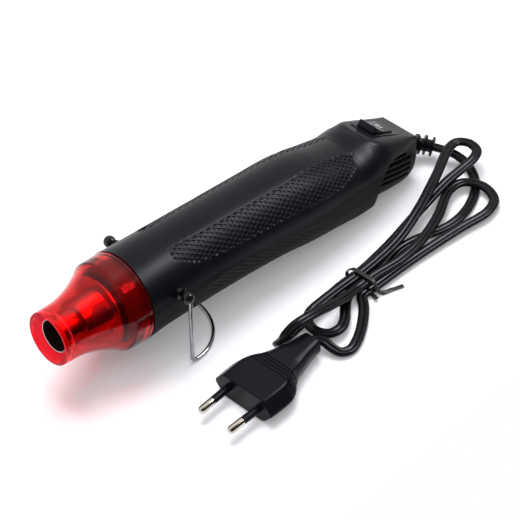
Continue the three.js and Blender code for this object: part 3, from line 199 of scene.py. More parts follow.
def pulled(points: Sequence[Row], steps: int) -> list[Row]:
    """Draws a curve from the first point to the last, pulled toward those between.

    Args:
        points: Two ends with one or two points between them.
        steps: Steps along the curve.

    Returns:
        The curve's points, one more than its steps.
    """
    order = len(points) - 1
    curve = []
    for t in evenly(0, 1, steps):
        weights = [math.comb(order, k) * t**k * (1 - t) ** (order - k) for k in range(order + 1)]
        curve.append(tuple(sum(w * p[axis] for w, p in zip(weights, points)) for axis in (0, 1)))
    return curve


def smooth_route(points: Sequence[Vector], spacing: float) -> list[Vector]:
    """Runs a smooth curve through points, with knots spaced by the root of the distance between them.

    Args:
        points: Points that the curve passes.
        spacing: Wanted distance between the points that come back.

    Returns:
        Points along the curve, from the first given point to the last.
    """
    ends = [points[0] * 2 - points[1], *points, points[-1] * 2 - points[-2]]
    route = [points[0].copy()]
    for p0, p1, p2, p3 in zip(ends, ends[1:], ends[2:], ends[3:]):
        t0 = 0.0
        t1 = t0 + math.sqrt((p1 - p0).length)
        t2 = t1 + math.sqrt((p2 - p1).length)
        t3 = t2 + math.sqrt((p3 - p2).length)
        steps = max(1, round((p2 - p1).length / spacing))
        for k in range(1, steps + 1):
            t = t1 + (t2 - t1) * k / steps
            a1 = p0.lerp(p1, (t - t0) / (t1 - t0))
            a2 = p1.lerp(p2, (t - t1) / (t2 - t1))
            a3 = p2.lerp(p3, (t - t2) / (t3 - t2))
            b1 = a1.lerp(a2, (t - t0) / (t2 - t0))
            b2 = a2.lerp(a3, (t - t1) / (t3 - t1))
            route.append(b1.lerp(b2, (t - t1) / (t2 - t1)))
    return route


def heading_at(route: Sequence[Vector], k: int) -> Vector:
    """Returns the direction of a route at one of its points."""
    return (route[min(k + 1, len(route) - 1)] - route[max(k - 1, 0)]).normalized()


def circle(radius: float, sides: int) -> list[Row]:
    """Returns the corners of a round section."""
    turns = [2 * math.pi * k / sides for k in range(sides)]
    return [(radius * math.cos(a), radius * math.sin(a)) for a in turns]


def rounded(corners: Sequence[Row], radius: float, steps: int = 3) -> list[Row]:
    """Returns a closed outline with each corner replaced by a short curve.

    Args:
        corners: The outline's sharp corners, in order.
        radius: How far from a corner its curve starts and ends.
        steps: Steps of each curve.

    Returns:
        The outline's points.
    """
    points = []
    for k, corner in enumerate(corners):
        here = Vector(corner)
        ends = []
        for other in (corners[k - 1], corners[(k + 1) % len(corners)]):
            toward = Vector(other) - here
            ends.append(here + toward * min(radius / toward.length, 0.45))
        for t in evenly(0, 1, steps):
            at = ends[0] * (1 - t) ** 2 + here * (2 * t * (1 - t)) + ends[1] * (t * t)
            points.append((at.x, at.y))
    return points


def oval(half: float, top: float, middle: float, bottom: float, square: float, turn: float) -> Vector:
    """Finds a point of a squared oval in the plane across the axis.

    Args:
        half: Half width.
        top: Height of the top.
        middle: Height of the widest place.
        bottom: Height of the bottom.
        square: 2 for an ellipse, more for a squarer form.
        turn: Angle round the oval.

    Returns:
        The point, at x = 0.
    """
    power = 2 / square
    c, s = math.cos(turn), math.sin(turn)
    across = math.copysign(abs(c) ** power, c)
    upward = math.copysign(abs(s) ** power, s)
    reach = top - middle if upward >= 0 else middle - bottom
    return Vector((0, half * across, middle + reach * upward))


# Meshes


def close_up(mesh: Mesh) -> None:
    """Merges doubled corners, fills open ends and turns all faces outwards.

    Args:
        mesh: The mesh to close.
    """
    bmesh.ops.remove_doubles(mesh, verts=mesh.verts, dist=WELD)
    open_edges = [edge for edge in mesh.edges if edge.is_boundary]
    if open_edges:
        bmesh.ops.holes_fill(mesh, edges=open_edges, sides=0)
    bmesh.ops.recalc_face_normals(mesh, faces=mesh.faces)


def wrapped(rings: int, sides: int, place: Place) -> Mesh:
    """Wraps a grid round a form.

    Args:
        rings: Steps along the form.
        sides: Steps round it.
        place: Gives the point for a share along the form and a share round it; both ends of a turn agree.

    Returns:
        A closed mesh, with flat ends.
    """
    mesh = bmesh.new()
    bmesh.ops.create_grid(mesh, x_segments=rings, y_segments=sides, size=1)
    for corner in mesh.verts:
        corner.co = place((corner.co.x + 1) / 2, (corner.co.y + 1) / 2)
    close_up(mesh)
    return mesh


def lofted(rings: Sequence[Sequence[Vector]]) -> Mesh:
    """Runs a skin through rings.

    Args:
        rings: Rings that have equal numbers of points.

    Returns:
        A closed mesh, with flat ends.
    """
    mesh = bmesh.new()
    bmesh.ops.create_circle(mesh, cap_ends=True, segments=len(rings[0]), radius=1)
    order = mesh.verts.layers.int.new("order")
    mesh.verts.ensure_lookup_table()
    for k, corner in enumerate(mesh.verts):
        corner[order] = k
        corner.co = rings[0][k]
    edges = list(mesh.edges)
    for ring in rings[1:]:
        grown = bmesh.ops.extrude_edge_only(mesh, edges=edges)["geom"]
        edges = [item for item in grown if isinstance(item, bmesh.types.BMEdge)]
        for item in grown:
            if isinstance(item, bmesh.types.BMVert):
                item.co = ring[item[order]]
    close_up(mesh)
    return mesh


def turned(outline: Sequence[Row], sides: int, closed: bool = True) -> Mesh:
    """Turns an outline of (position, radius) points about the X axis.

    Args:
        outline: The outline, in order.
        sides: Steps of the full turn.
        closed: Whether the outline returns to its start; an open one starts and ends on the axis.

    Returns:
        A closed mesh.
    """
    mesh = bmesh.new()
    corners = [mesh.verts.new((x, 0, radius)) for x, radius in outline]
    pairs = list(zip(corners, corners[1:]))
    if closed:
        pairs.append((corners[-1], corners[0]))
    edges = [mesh.edges.new(pair) for pair in pairs]
    bmesh.ops.spin(
        mesh,
        geom=[*corners, *edges],
        cent=(0, 0, 0),
        axis=(1, 0, 0),
        angle=2 * math.pi,
        steps=sides,
        use_merge=True,
    )
    close_up(mesh)
    return mesh


def swept(route: Sequence[Vector], section: Callable[[int], Sequence[Row]]) -> Mesh:
    """Sweeps a section along a route, with its width kept level.

    Args:
        route: Points along the middle.
        section: Gives the section's (across, up) corners for a point's number.

    Returns:
        A closed mesh.
    """
    rings = []
    for k, here in enumerate(route):
        along = heading_at(route, k)
        side = Vector((0, 0, 1)).cross(along).normalized()
        up = along.cross(side)
        rings.append([here + side * wide + up * high for wide, high in section(k)])
    return lofted(rings)


def wire(route: Sequence[Vector], radius: float, sides: int) -> Mesh:
    """Runs a round wire, without twist, along a route that may go straight up.

    Args:
        route: Points along the middle.
        radius: Radius of the wire.
        sides: Steps round it.

    Returns:
        A closed mesh.
    """
    across = Vector((1, 0, 0))
    rings = []
    for k, here in enumerate(route):
        along = heading_at(route, k)
        across = (across - along * across.dot(along)).normalized()
        up = along.cross(across)
        rings.append([here + across * wide + up * high for wide, high in circle(radius, sides)])
    return lofted(rings)


def block(low: Sequence[float], high: Sequence[float], edge: float = 0.0) -> Mesh:
    """Makes a box between two corners.

    Args:
        low: The least corner.
        high: The greatest corner.
        edge: Radius of its edges; 0 leaves them sharp.

    Returns:
        The box.
    """
    mesh = bmesh.new()
    bmesh.ops.create_cube(mesh, size=1)
    size = [b - a for a, b in zip(low, high)]
    middle = [(a + b) / 2 for a, b in zip(low, high)]
    bmesh.ops.scale(mesh, vec=size, verts=mesh.verts)
    bmesh.ops.translate(mesh, vec=middle, verts=mesh.verts)
    if edge > 0:
        round_edges(mesh, mesh.edges, edge)
    return mesh


def pad(long: float, wide: float, low: float, high: float, edge: float = 0.0) -> Mesh:
    """Returns a box over the middle of its frame, from one height to another."""
    return block((-long / 2, -wide / 2, low), (long / 2, wide / 2, high), edge)


def plate(outline: Sequence[Row], half: float) -> Mesh:
    """Draws a side view out across the tool.

    Args:
        outline: The view's (position, height) points.
        half: How far it goes to each side of the middle.

    Returns:
        A closed mesh.
    """
    mesh = bmesh.new()
    face = mesh.faces.new([mesh.verts.new((x, -half, z)) for x, z in outline])
    grown = bmesh.ops.extrude_face_region(mesh, geom=[face])["geom"]
    far = [item for item in grown if isinstance(item, bmesh.types.BMVert)]
    bmesh.ops.translate(mesh, vec=(0, 2 * half, 0), verts=far)
    bmesh.ops.recalc_face_normals(mesh, faces=mesh.faces)
    return mesh


def round_edges(mesh: Mesh, edges: Iterable, radius: float, segments: int = 3) -> None:
    """Rounds edges of a mesh.

    Args:
        mesh: The mesh.
        edges: The edges to round.
        radius: Their radius.
        segments: Steps across each rounding.
    """
    bmesh.ops.bevel(
        mesh,
        geom=list(edges),
        offset=radius,
        offset_type="OFFSET",
        affect="EDGES",
        segments=segments,
        profile=0.5,
        material=-1,
        clamp_overlap=True,
    )


def bar(start: float, end: float, radius: float, sides: int) -> Mesh:
    """Returns a round bar on the X axis, from one position to another."""
    return turned([(start, 0), (start, radius), (end, radius), (end, 0)], sides, closed=False)


def cross_bar(at: Row, start: float, end: float, radius: float, sides: int = 24) -> Mesh:
    """Makes a round bar across the tool.

    Args:
        at: Position and height of its middle line.
        start: Where it starts, across the tool.
        end: Where it ends.
        radius: Its radius.
        sides: Steps round it.

    Returns:
        A closed mesh.
    """
    mesh = bar(start, end, radius, sides)
    quarter = Matrix.Rotation(math.pi / 2, 3, "Z")
    bmesh.ops.rotate(mesh, cent=(0, 0, 0), matrix=quarter, verts=mesh.verts)
    bmesh.ops.translate(mesh, vec=(at[0], 0, at[1]), verts=mesh.verts)
    return mesh


def joined(parts: Iterable[Mesh]) -> Mesh:
    """Puts separate meshes into one, without cutting them.

    Args:
        parts: The meshes. They are used up.

    Returns:
        One mesh.
    """
    whole = bmesh.new()
    for part in parts:
        held = bpy.data.meshes.new("part")
        part.to_mesh(held)
        part.free()
        whole.from_mesh(held)
        bpy.data.meshes.remove(held)
    return whole


def shown(name: str, mesh: Mesh) -> bpy.types.Object:
    """Puts a mesh into the scene.

    Args:
        name: The object's name.
        mesh: Its mesh, which is used up.

    Returns:
        The object.
    """
    data = bpy.data.meshes.new(name)
    mesh.to_mesh(data)
    mesh.free()
    made = bpy.data.objects.new(name, data)
    bpy.context.scene.collection.objects.link(made)
    return made


def carved(mesh: Mesh, steps: Sequence[tuple[Cut, Mesh]]) -> Mesh:
    """Cuts and joins closed solids in order.

    Args:
        mesh: The solid to start from. It is used up, as the others are.
        steps: What is done, and with which solid.

    Returns:
        The solid that is left.
    """
    base = shown("solid", mesh)
    made = [base]
    for action, part in steps:
        made.append(shown("solid", part))
        modifier = base.modifiers.new("carve", "BOOLEAN")
        modifier.operation = action.value
        modifier.solver = "MANIFOLD"
        modifier.object = made[-1]
    bpy.context.view_layer.update()
    shaped = base.evaluated_get(bpy.context.evaluated_depsgraph_get())
    result = bmesh.new()
    result.from_mesh(shaped.to_mesh())
    shaped.to_mesh_clear()
    for item in made:
        held = item.data
        bpy.data.objects.remove(item)
        bpy.data.meshes.remove(held)
    return result


@dataclass
class Workshop:
    """Turns shapes in the tool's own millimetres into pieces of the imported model.

    Attributes:
        tool: From the tool's frame, which is tipped, to the row frame.
        level: From the table's frame, which starts below the rim of the guard, to the row frame.
    """

    frame: dict
    tool: Matrix
    level: Matrix

    @classmethod
    def around(cls, frame: dict) -> "Workshop":
        """Reads the tool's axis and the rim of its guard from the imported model.


        Returns:
            A workshop around that model.
        """
        spin = next(joint for joint in frame["joints"] if joint["name"] == "rotor_spin")
        along = Vector(spin["axis"]).normalized()
        on_axis = Vector(spin["pos_m"])
        guard = frame["nodes"]["nozzle_guard"].data.vertices
        rim = on_axis + along * min((corner.co - on_axis).dot(along) for corner in guard)
        across = Vector((0, 1, 0))
        up = along.cross(across)
        turn = Matrix((along, across, up)).transposed().to_4x4()
        scale = Matrix.Scale(MM, 4)
        level = Matrix.Translation((rim.x, 0, 0)) @ scale
        return cls(frame, Matrix.Translation(rim) @ turn @ scale, level)

    def piece(
        self,
        name: str,
        mesh: Mesh,
        finishes: Sequence[bpy.types.Material],
        body: Body,
        slot: str,
        replaces: Sequence[str] = (),
        place: Matrix | None = None,
        crease: float = 32.0,
    ) -> bpy.types.Object:
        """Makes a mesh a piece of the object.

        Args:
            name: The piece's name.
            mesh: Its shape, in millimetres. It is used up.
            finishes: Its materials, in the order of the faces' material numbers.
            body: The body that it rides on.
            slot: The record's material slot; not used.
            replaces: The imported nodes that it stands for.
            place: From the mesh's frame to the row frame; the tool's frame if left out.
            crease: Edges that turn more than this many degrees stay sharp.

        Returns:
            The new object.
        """
        mesh.transform(place or self.tool)
        limit = math.radians(crease)
        for face in mesh.faces:
            face.smooth = True
        for edge in mesh.edges:
            edge.smooth = len(edge.link_faces) == 2 and edge.calc_face_angle(0.0) < limit
        made = shown(name, mesh)
        for finish in finishes:
            made.data.materials.append(finish)
        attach(made, body.value)
        if replaces:
            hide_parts(*replaces)
        log.info("%s: %d faces on %s", name, len(made.data.polygons), body.value)
        return made


# Finishes


class Sheet:
    """A material's node tree, with short calls for adding nodes and links."""

    def __init__(self, tree: bpy.types.NodeTree) -> None:
        """Starts with an empty tree."""
        self.tree = tree
        tree.nodes.clear()

    def add(self, kind: str, inputs: dict | None = None, **settings: object) -> bpy.types.Node:
        """Adds a node.

        Args:
            kind: The node's type.
            inputs: Values or other nodes' sockets for its inputs, by name or number.
            settings: Other properties of the node.

        Returns:
            The node.
        """
        node = self.tree.nodes.new(kind)
        for key, value in settings.items():
            setattr(node, key, value)
        for key, value in (inputs or {}).items():
            socket = node.inputs[key]
            if isinstance(value, Socket):
                self.tree.links.new(value, socket)
            else:
                socket.default_value = value
        return node

    def ramp(self, value: Socket, span: Row, result: Row) -> Socket:
        """Maps a value from one span, given by its two ends, to another."""
        ends = {"From Min": span[0], "From Max": span[1], "To Min": result[0], "To Max": result[1]}
        return self.add("ShaderNodeMapRange", {"Value": value, **ends}).outputs["Result"]

    def mixed(self, share: Socket, first: Row, second: Row) -> Socket:
        """Mixes two linear colours, by the second one's share."""
        inputs = {"Factor": share, "A": (*first, 1), "B": (*second, 1)}
        return self.add("ShaderNodeMix", inputs, data_type="RGBA").outputs["Result"]

    def noise(self, where: Socket, scale: Socket, detail: float, roughness: float = 0.5) -> Socket:
        """Adds a noise pattern, with its scale in repeats per metre."""
        inputs = {"Vector": where, "Scale": scale, "Detail": detail, "Roughness": roughness}
        return self.add("ShaderNodeTexNoise", inputs).outputs["Fac"]


class EffectGroup(Sheet):
    """A shader node group, with its input and output sockets by name."""

    def __init__(self, name: str, inputs: dict[str, float], outputs: Sequence[str]) -> None:
        """Starts the group.

        Args:
            name: The group's name.
            inputs: Its number inputs, with their usual values.
            outputs: Its number outputs.
        """
        tree = bpy.data.node_groups.new(name, "ShaderNodeTree")
        for key, value in inputs.items():
            socket = tree.interface.new_socket(key, in_out="INPUT", socket_type="NodeSocketFloat")
            socket.default_value = value
        for key in outputs:
            tree.interface.new_socket(key, in_out="OUTPUT", socket_type="NodeSocketFloat")
        super().__init__(tree)
        self.given = self.add("NodeGroupInput").outputs
        self.out = self.add("NodeGroupOutput").inputs


class Effects:
    """Shader node groups that several finishes share."""

    def __init__(self) -> None:
        """Builds the groups once."""
        self.grain = self.moulded_grain()
        self.marks = self.drawn_marks()

    @staticmethod
    def moulded_grain() -> bpy.types.NodeTree:
        """Makes the spark-eroded grain of a mould, with the soft blotches of handling.

        Returns:
            The node group.
        """
        usual = {"Grain per metre": 2600.0, "Blotch per metre": 38.0}
        group = EffectGroup("moulded_grain", usual, ["Height", "Blotch"])
        where = group.add("ShaderNodeTexCoord").outputs["Object"]
        fine = group.noise(where, group.given["Grain per metre"], 2.0)
        broad = group.noise(where, group.given["Blotch per metre"], 4.0, 0.6)
        group.tree.links.new(fine, group.out["Height"])
        group.tree.links.new(broad, group.out["Blotch"])
        return group.tree

    @staticmethod
    def drawn_marks() -> bpy.types.NodeTree:
        """Makes fine lines round the X axis, as on drawn or turned metal, with blotches.

        Returns:
            The node group.
        """
        usual = {"Lines per metre": 5200.0, "Blotch per metre": 120.0}
        group = EffectGroup("drawn_marks", usual, ["Height", "Blotch"])
        where = group.add("ShaderNodeTexCoord").outputs["Object"]
        stretched = group.add("ShaderNodeMapping", {"Vector": where, "Scale": (1.0, 0.06, 0.06)})
        lines = group.noise(stretched.outputs["Vector"], group.given["Lines per metre"], 1.0)
        broad = group.noise(where, group.given["Blotch per metre"], 3.0)
        group.tree.links.new(lines, group.out["Height"])
        group.tree.links.new(broad, group.out["Blotch"])
        return group.tree


@dataclass(frozen=True)
class Finish:
    """A solid finish whose tone, gloss and relief vary over the surface.

    Attributes:
        dark: Colour where the blotches are low, linear.
        light: Colour where they are high.
        gloss: Roughness at the two ends of the blotches.
        relief: Depth of the grain, in millimetres.
        fineness: Grains or lines per metre.
        blotch: Blotches per metre.
        spread: Values of the blotches that count as low and high.
        drawn: Whether the grain runs in lines round the X axis.
        matt_below: Heights at which a matter underside starts and is full, and its extra roughness.
    """

    name: str
    dark: Row
    light: Row
    gloss: Row
    metal: float = 0.0
    relief: float = 0.01
    fineness: float = 2600.0
    blotch: float = 38.0
    spread: Row = (0.3, 0.7)
    drawn: bool = False
    specular: float = 0.5
    tint: Row = (1.0, 1.0, 1.0)
    matt_below: Row | None = None

    def material(self, effects: Effects) -> bpy.types.Material:
        """Builds the material.

        Args:
            effects: The shared effects.

        Returns:
            The material.
        """
        made = bpy.data.materials.new(self.name)
        made.use_nodes = True
        sheet = Sheet(made.node_tree)
        group = sheet.add("ShaderNodeGroup", node_tree=effects.marks if self.drawn else effects.grain)
        group.inputs[0].default_value = self.fineness
        group.inputs[1].default_value = self.blotch
        blotch = group.outputs["Blotch"]
        tone = sheet.ramp(blotch, self.spread, (0.0, 1.0))
        relief = {"Height": group.outputs["Height"], "Strength": 1.0, "Distance": self.relief * MM}
        bump = sheet.add("ShaderNodeBump", relief)
        rough = sheet.ramp(blotch, self.spread, self.gloss)
        if self.matt_below:
            start, full, extra = self.matt_below
            where = sheet.add("ShaderNodeTexCoord").outputs["Object"]
            height = sheet.add("ShaderNodeVectorMath", {0: where, 1: UP}, operation="DOT_PRODUCT")
            more = sheet.ramp(height.outputs["Value"], (full, start), (extra, 0.0))
            rough = sheet.add("ShaderNodeMath", {0: rough, 1: more}).outputs[0]
        shader = sheet.add(
            "ShaderNodeBsdfPrincipled",
            {
                "Base Color": sheet.mixed(tone, self.dark, self.light),
                "Roughness": rough,
                "Metallic": self.metal,
                "Normal": bump.outputs["Normal"],
                "Specular IOR Level": self.specular,
                "Specular Tint": (*self.tint, 1),
            },
        )
        sheet.add("ShaderNodeOutputMaterial", {"Surface": shader.outputs["BSDF"]})
        return made


@dataclass(frozen=True)
class ClearRed:
    """The see-through red plastic of the nozzle guard.

    Attributes:
        colour: Colour that light takes in one wall.
        shade: Colour of the light that falls through on the table.
        passing: Share of the light that passes; the rest scatters at the skin.
        blotch: Waves of the skin per metre.
        relief: Depth of the waves, in millimetres.
    """

    name: str = "clear_red"
    colour: Row = (0.8, 0.014, 0.018)
    shade: Row = (0.95, 0.05, 0.07)
    roughness: float = 0.09
    index: float = 1.32
    passing: float = 1.0
    specular: float = 0.2
    fineness: float = 900.0
    blotch: float = 60.0
    relief: float = 0.06

    def material(self, effects: Effects) -> bpy.types.Material:
        """Builds the material: tinted glass that lets red light through to what is behind it.

        Args:
            effects: The shared effects.

        Returns:
            The material.
        """
        made = bpy.data.materials.new(self.name)
        made.use_nodes = True
        sheet = Sheet(made.node_tree)
        group = sheet.add("ShaderNodeGroup", node_tree=effects.grain)
        group.inputs[0].default_value = self.fineness
        group.inputs[1].default_value = self.blotch
        waves = {"Height": group.outputs["Blotch"], "Strength": 1.0, "Distance": self.relief * MM}
        bump = sheet.add("ShaderNodeBump", waves)
        glass = sheet.add(
            "ShaderNodeBsdfPrincipled",
            {
                "Base Color": (*self.colour, 1),
                "Roughness": self.roughness,
                "IOR": self.index,
                "Transmission Weight": self.passing,
                "Specular IOR Level": self.specular,
                "Normal": bump.outputs["Normal"],
            },
        )
        passing = sheet.add("ShaderNodeBsdfTransparent", {"Color": (*self.shade, 1)})
        rays = sheet.add("ShaderNodeLightPath").outputs
        lights = {0: rays["Is Shadow Ray"], 1: rays["Is Diffuse Ray"]}
        lit = sheet.add("ShaderNodeMath", lights, operation="MAXIMUM").outputs[0]
        both = {0: lit, 1: glass.outputs["BSDF"], 2: passing.outputs["BSDF"]}
        mix = sheet.add("ShaderNodeMixShader", both)
        sheet.add("ShaderNodeOutputMaterial", {"Surface": mix.outputs["Shader"]})
        return made


@dataclass
class Palette:
    """All the finishes of the tool, built as they are asked for.

    Attributes:
        effects: The effects that the finishes share.
        made: The materials built so far, by name.
    """

    effects: Effects
    made: dict[str, bpy.types.Material] = field(default_factory=dict)

    # Name, dark colour, light colour and gloss come first in each
    FINISHES = (
        # The blue in the colours and specular tint of casing_black, switch_black, lead_black and plug_black
        # is painted light: it stands in for a slightly blue light.
        Finish("casing_black", (0.0032, 0.003, 0.0046), (0.0046, 0.0043, 0.0062), (0.33, 0.38),
               fineness=3000, specular=0.17, tint=(0.9, 0.88, 1.0), matt_below=(0.034, 0.0265, 0.32)),
        Finish("switch_black", (0.003, 0.0028, 0.0042), (0.0045, 0.0042, 0.006), (0.24, 0.3), relief=0.005,
               fineness=4000, specular=0.17, tint=(0.9, 0.88, 1.0)),
        Finish("knob_black", (0.004, 0.004, 0.0045), (0.006, 0.006, 0.0065), (0.16, 0.22), relief=0.004,
               fineness=3000, specular=0.35),
        Finish("lead_black", (0.003, 0.003, 0.004), (0.0046, 0.0046, 0.006), (0.22, 0.3), relief=0.006,
               fineness=1800, blotch=60, specular=0.16, tint=(0.92, 0.92, 1.0)),
        Finish("plug_black", (0.0035, 0.0033, 0.0048), (0.005, 0.0047, 0.0066), (0.28, 0.36), relief=0.008,
               specular=0.13, tint=(0.9, 0.88, 1.0)),
        Finish("stand_chrome", (0.24, 0.24, 0.25), (0.36, 0.36, 0.37), (0.06, 0.12), metal=1.0,
               relief=0.003, fineness=3000, blotch=160),
        Finish("tube_steel", (0.42, 0.39, 0.36), (0.66, 0.63, 0.6), (0.2, 0.34), metal=1.0, relief=0.006,
               drawn=True, fineness=3600),
        # Painted shade: a near-black, non-metal finish for the inside of the tube, standing in for the dark
        # deep in its bore.
        Finish("bore_shade_black", (0.004, 0.004, 0.004), (0.012, 0.011, 0.01), (0.6, 0.8), drawn=True,
               specular=0.2),
        # Painted shade: a darker copy of the insulator colour for the ring's front face and chamfer, where
        # shade falls.
        Finish("insulator_front_shade", (0.006, 0.0055, 0.005), (0.011, 0.01, 0.01), (0.55, 0.7), relief=0.02),
        Finish("pale_insulator", (0.06, 0.055, 0.05), (0.085, 0.08, 0.075), (0.55, 0.7), relief=0.02),
        Finish("pin_nickel", (0.5, 0.46, 0.4), (0.66, 0.62, 0.55), (0.12, 0.2), metal=1.0, relief=0.004,
               drawn=True, fineness=3200),
        Finish("screw_steel", (0.2, 0.2, 0.21), (0.34, 0.34, 0.35), (0.3, 0.45), metal=1.0, relief=0.006),
        Finish("motor_steel", (0.32, 0.32, 0.33), (0.45, 0.45, 0.46), (0.3, 0.4), metal=1.0, relief=0.006,
               drawn=True),
        Finish("mica_sheet", (0.36, 0.27, 0.13), (0.52, 0.42, 0.24), (0.4, 0.6), relief=0.02, blotch=300),
        Finish("heater_wire", (0.2, 0.18, 0.16), (0.32, 0.3, 0.28), (0.4, 0.55), metal=1.0, relief=0.006),
        Finish("terminal_brass", (0.5, 0.34, 0.12), (0.64, 0.46, 0.2), (0.28, 0.4), metal=1.0,
               relief=0.006),
        Finish("blower_plastic", (0.03, 0.033, 0.037), (0.045, 0.05, 0.055), (0.45, 0.55), relief=0.015),
        Finish("board_resin", (0.025, 0.13, 0.05), (0.05, 0.2, 0.085), (0.35, 0.5), relief=0.015,
               blotch=260),
        Finish("tie_black", (0.008, 0.008, 0.0085), (0.014, 0.014, 0.015), (0.4, 0.55), relief=0.02,
               fineness=3200),
        Finish("print_white", (0.62, 0.62, 0.62), (0.74, 0.74, 0.74), (0.5, 0.6)),
        ClearRed(),
        ClearRed("frosted_red", (0.84, 0.012, 0.04), roughness=0.5, passing=0.5),
    )

    def __getitem__(self, name: str) -> bpy.types.Material:
        """Finds the material of a finish.

        Args:
            name: The finish's name.

        Returns:
            Its material, built once.
        """
        if name not in self.made:
            finish = next(entry for entry in self.FINISHES if entry.name == name)
            self.made[name] = finish.material(self.effects)
        return self.made[name]


# Sub-assemblies


@dataclass
class Assembly:
    """One sub-assembly of the tool.

    Attributes:
        shop: Makes its pieces.
        palette: Holds their finishes.
    """

    shop: Workshop
    palette: Palette

    def add(
        self,
        node: str,
        form: str,
        mesh: Mesh,
        finishes: Sequence[str],
        slot: str,
        body: Body = Body.HOUSING,
        place: Matrix | None = None,
        crease: float = 32.0,
    ) -> bpy.types.Object:
        """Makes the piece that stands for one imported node, named after the node and its form."""
        materials = [self.palette[name] for name in finishes]
        return self.shop.piece(f"{node}_{form}", mesh, materials, body, slot, [node], place, crease)


@dataclass
class Grip:
    """Relief that is moulded into the casing: diamond dimples on both flanks, and slanting ribs below them.

    Attributes:
        origin: Position and degrees where two ridges cross.
        dimple_along: Distance along the tool between dimples on one slanting line.
        dimple_turn: Degrees round the tool between them.
        ridge: Shares of a diamond's half width at which the wall of a dimple starts and ends.
        dimple_fade: Distance inside the panel's edge over which dimples grow; rib_fade is the ribs'.
        panel: Dimpled panel of the lead's side: position, upper and lower edge in degrees.
        rib_pitch: Distance round the tool between ribs.
        rib_slant: How far a rib drops round the tool for each millimetre along it.
        ribs: Ribbed panel of the lead's side: position, upper and lower edge in degrees.
        radius: Mean radius that turns degrees into millimetres.
    """

    origin: Row = (61.0, 106.0)
    dimple_along: float = 15 / 7
    dimple_turn: float = 10 / 3
    ridge: Row = (0.19, 0.6)
    dimple_depth: float = 0.5
    dimple_fade: float = 2.4
    panel: tuple[Row, ...] = (
        (61.8, 119.0, 121.0),
        (63.5, 110.0, 131.0),
        (68.0, 109.5, 140.0),
        (76.0, 111.5, 147.0),
        (90.0, 112.5, 151.5),
        (112.0, 112.5, 153.5),
        (137.0, 112.5, 155.5),
        (148.0, 110.0, 156.5),
        (159.0, 106.8, 156.0),
        (169.0, 105.0, 153.5),
        (176.0, 106.0, 146.0),
        (181.5, 107.5, 137.0),
        (184.5, 110.0, 124.0),
        (186.0, 115.0, 117.0),
    )
    rib_pitch: float = 2.65
    rib_slant: float = 0.608
    rib_depth: float = 0.2
    rib_fade: float = 1.5
    ribs: tuple[Row, ...] = (
        (74.0, 181.0, 200.0),
        (84.0, 173.5, 226.0),
        (97.0, 169.5, 236.0),
        (112.0, 170.0, 240.0),
        (136.0, 176.0, 240.0),
        (152.0, 182.0, 238.0),
        (165.0, 188.5, 230.0),
        (174.0, 198.0, 212.0),
    )
    radius: float = 22.6

    def inside(self, rows: Sequence[Row], along: float, angle: float) -> float:
        """Finds how far a point lies inside a panel.

        Args:
            rows: The panel's position, upper and lower edge.
            along: The point's position.
            angle: Its degrees round the casing.

        Returns:
            The distance to the panel's edge, negative outside.
        """
        if not rows[0][0] < along < rows[-1][0]:
            return -1.0
        arc = math.radians(1) * self.radius
        over = (angle - between(rows, 1, along)) * arc
        under = (between(rows, 2, along) - angle) * arc
        return min(over, under, along - rows[0][0], rows[-1][0] - along)

    def depth(self, along: float, angle: float) -> float:
        """Returns how deep the relief goes at a place on the casing.

        Args:
            along: Position along the axis.
            angle: Degrees round the casing.

        Returns:
            Depth below the smooth skin.
        """
        near = angle if 90 <= angle <= 270 else (180 - angle) % 360
        arc = math.radians(near) * self.radius
        reach = self.inside(self.panel, along, near)
        if reach > 0:
            forward = (along - self.origin[0]) / self.dimple_along
            aside = (near - self.origin[1]) / self.dimple_turn
            depth = self.dimple_depth
            for line in (forward - aside, forward + aside):
                off = 1 - abs((line / 2) % 1 - 0.5) * 2
                depth *= smooth_step(*self.ridge, off)
            return depth * smooth_step(0, self.dimple_fade, reach)
        reach = self.inside(self.ribs, along, near)
        if reach > 0:
            wave = math.cos(2 * math.pi * (arc - self.rib_slant * along) / self.rib_pitch)
            return self.rib_depth * (0.5 - 0.5 * wave) * smooth_step(0, self.rib_fade, reach)
        return 0.0


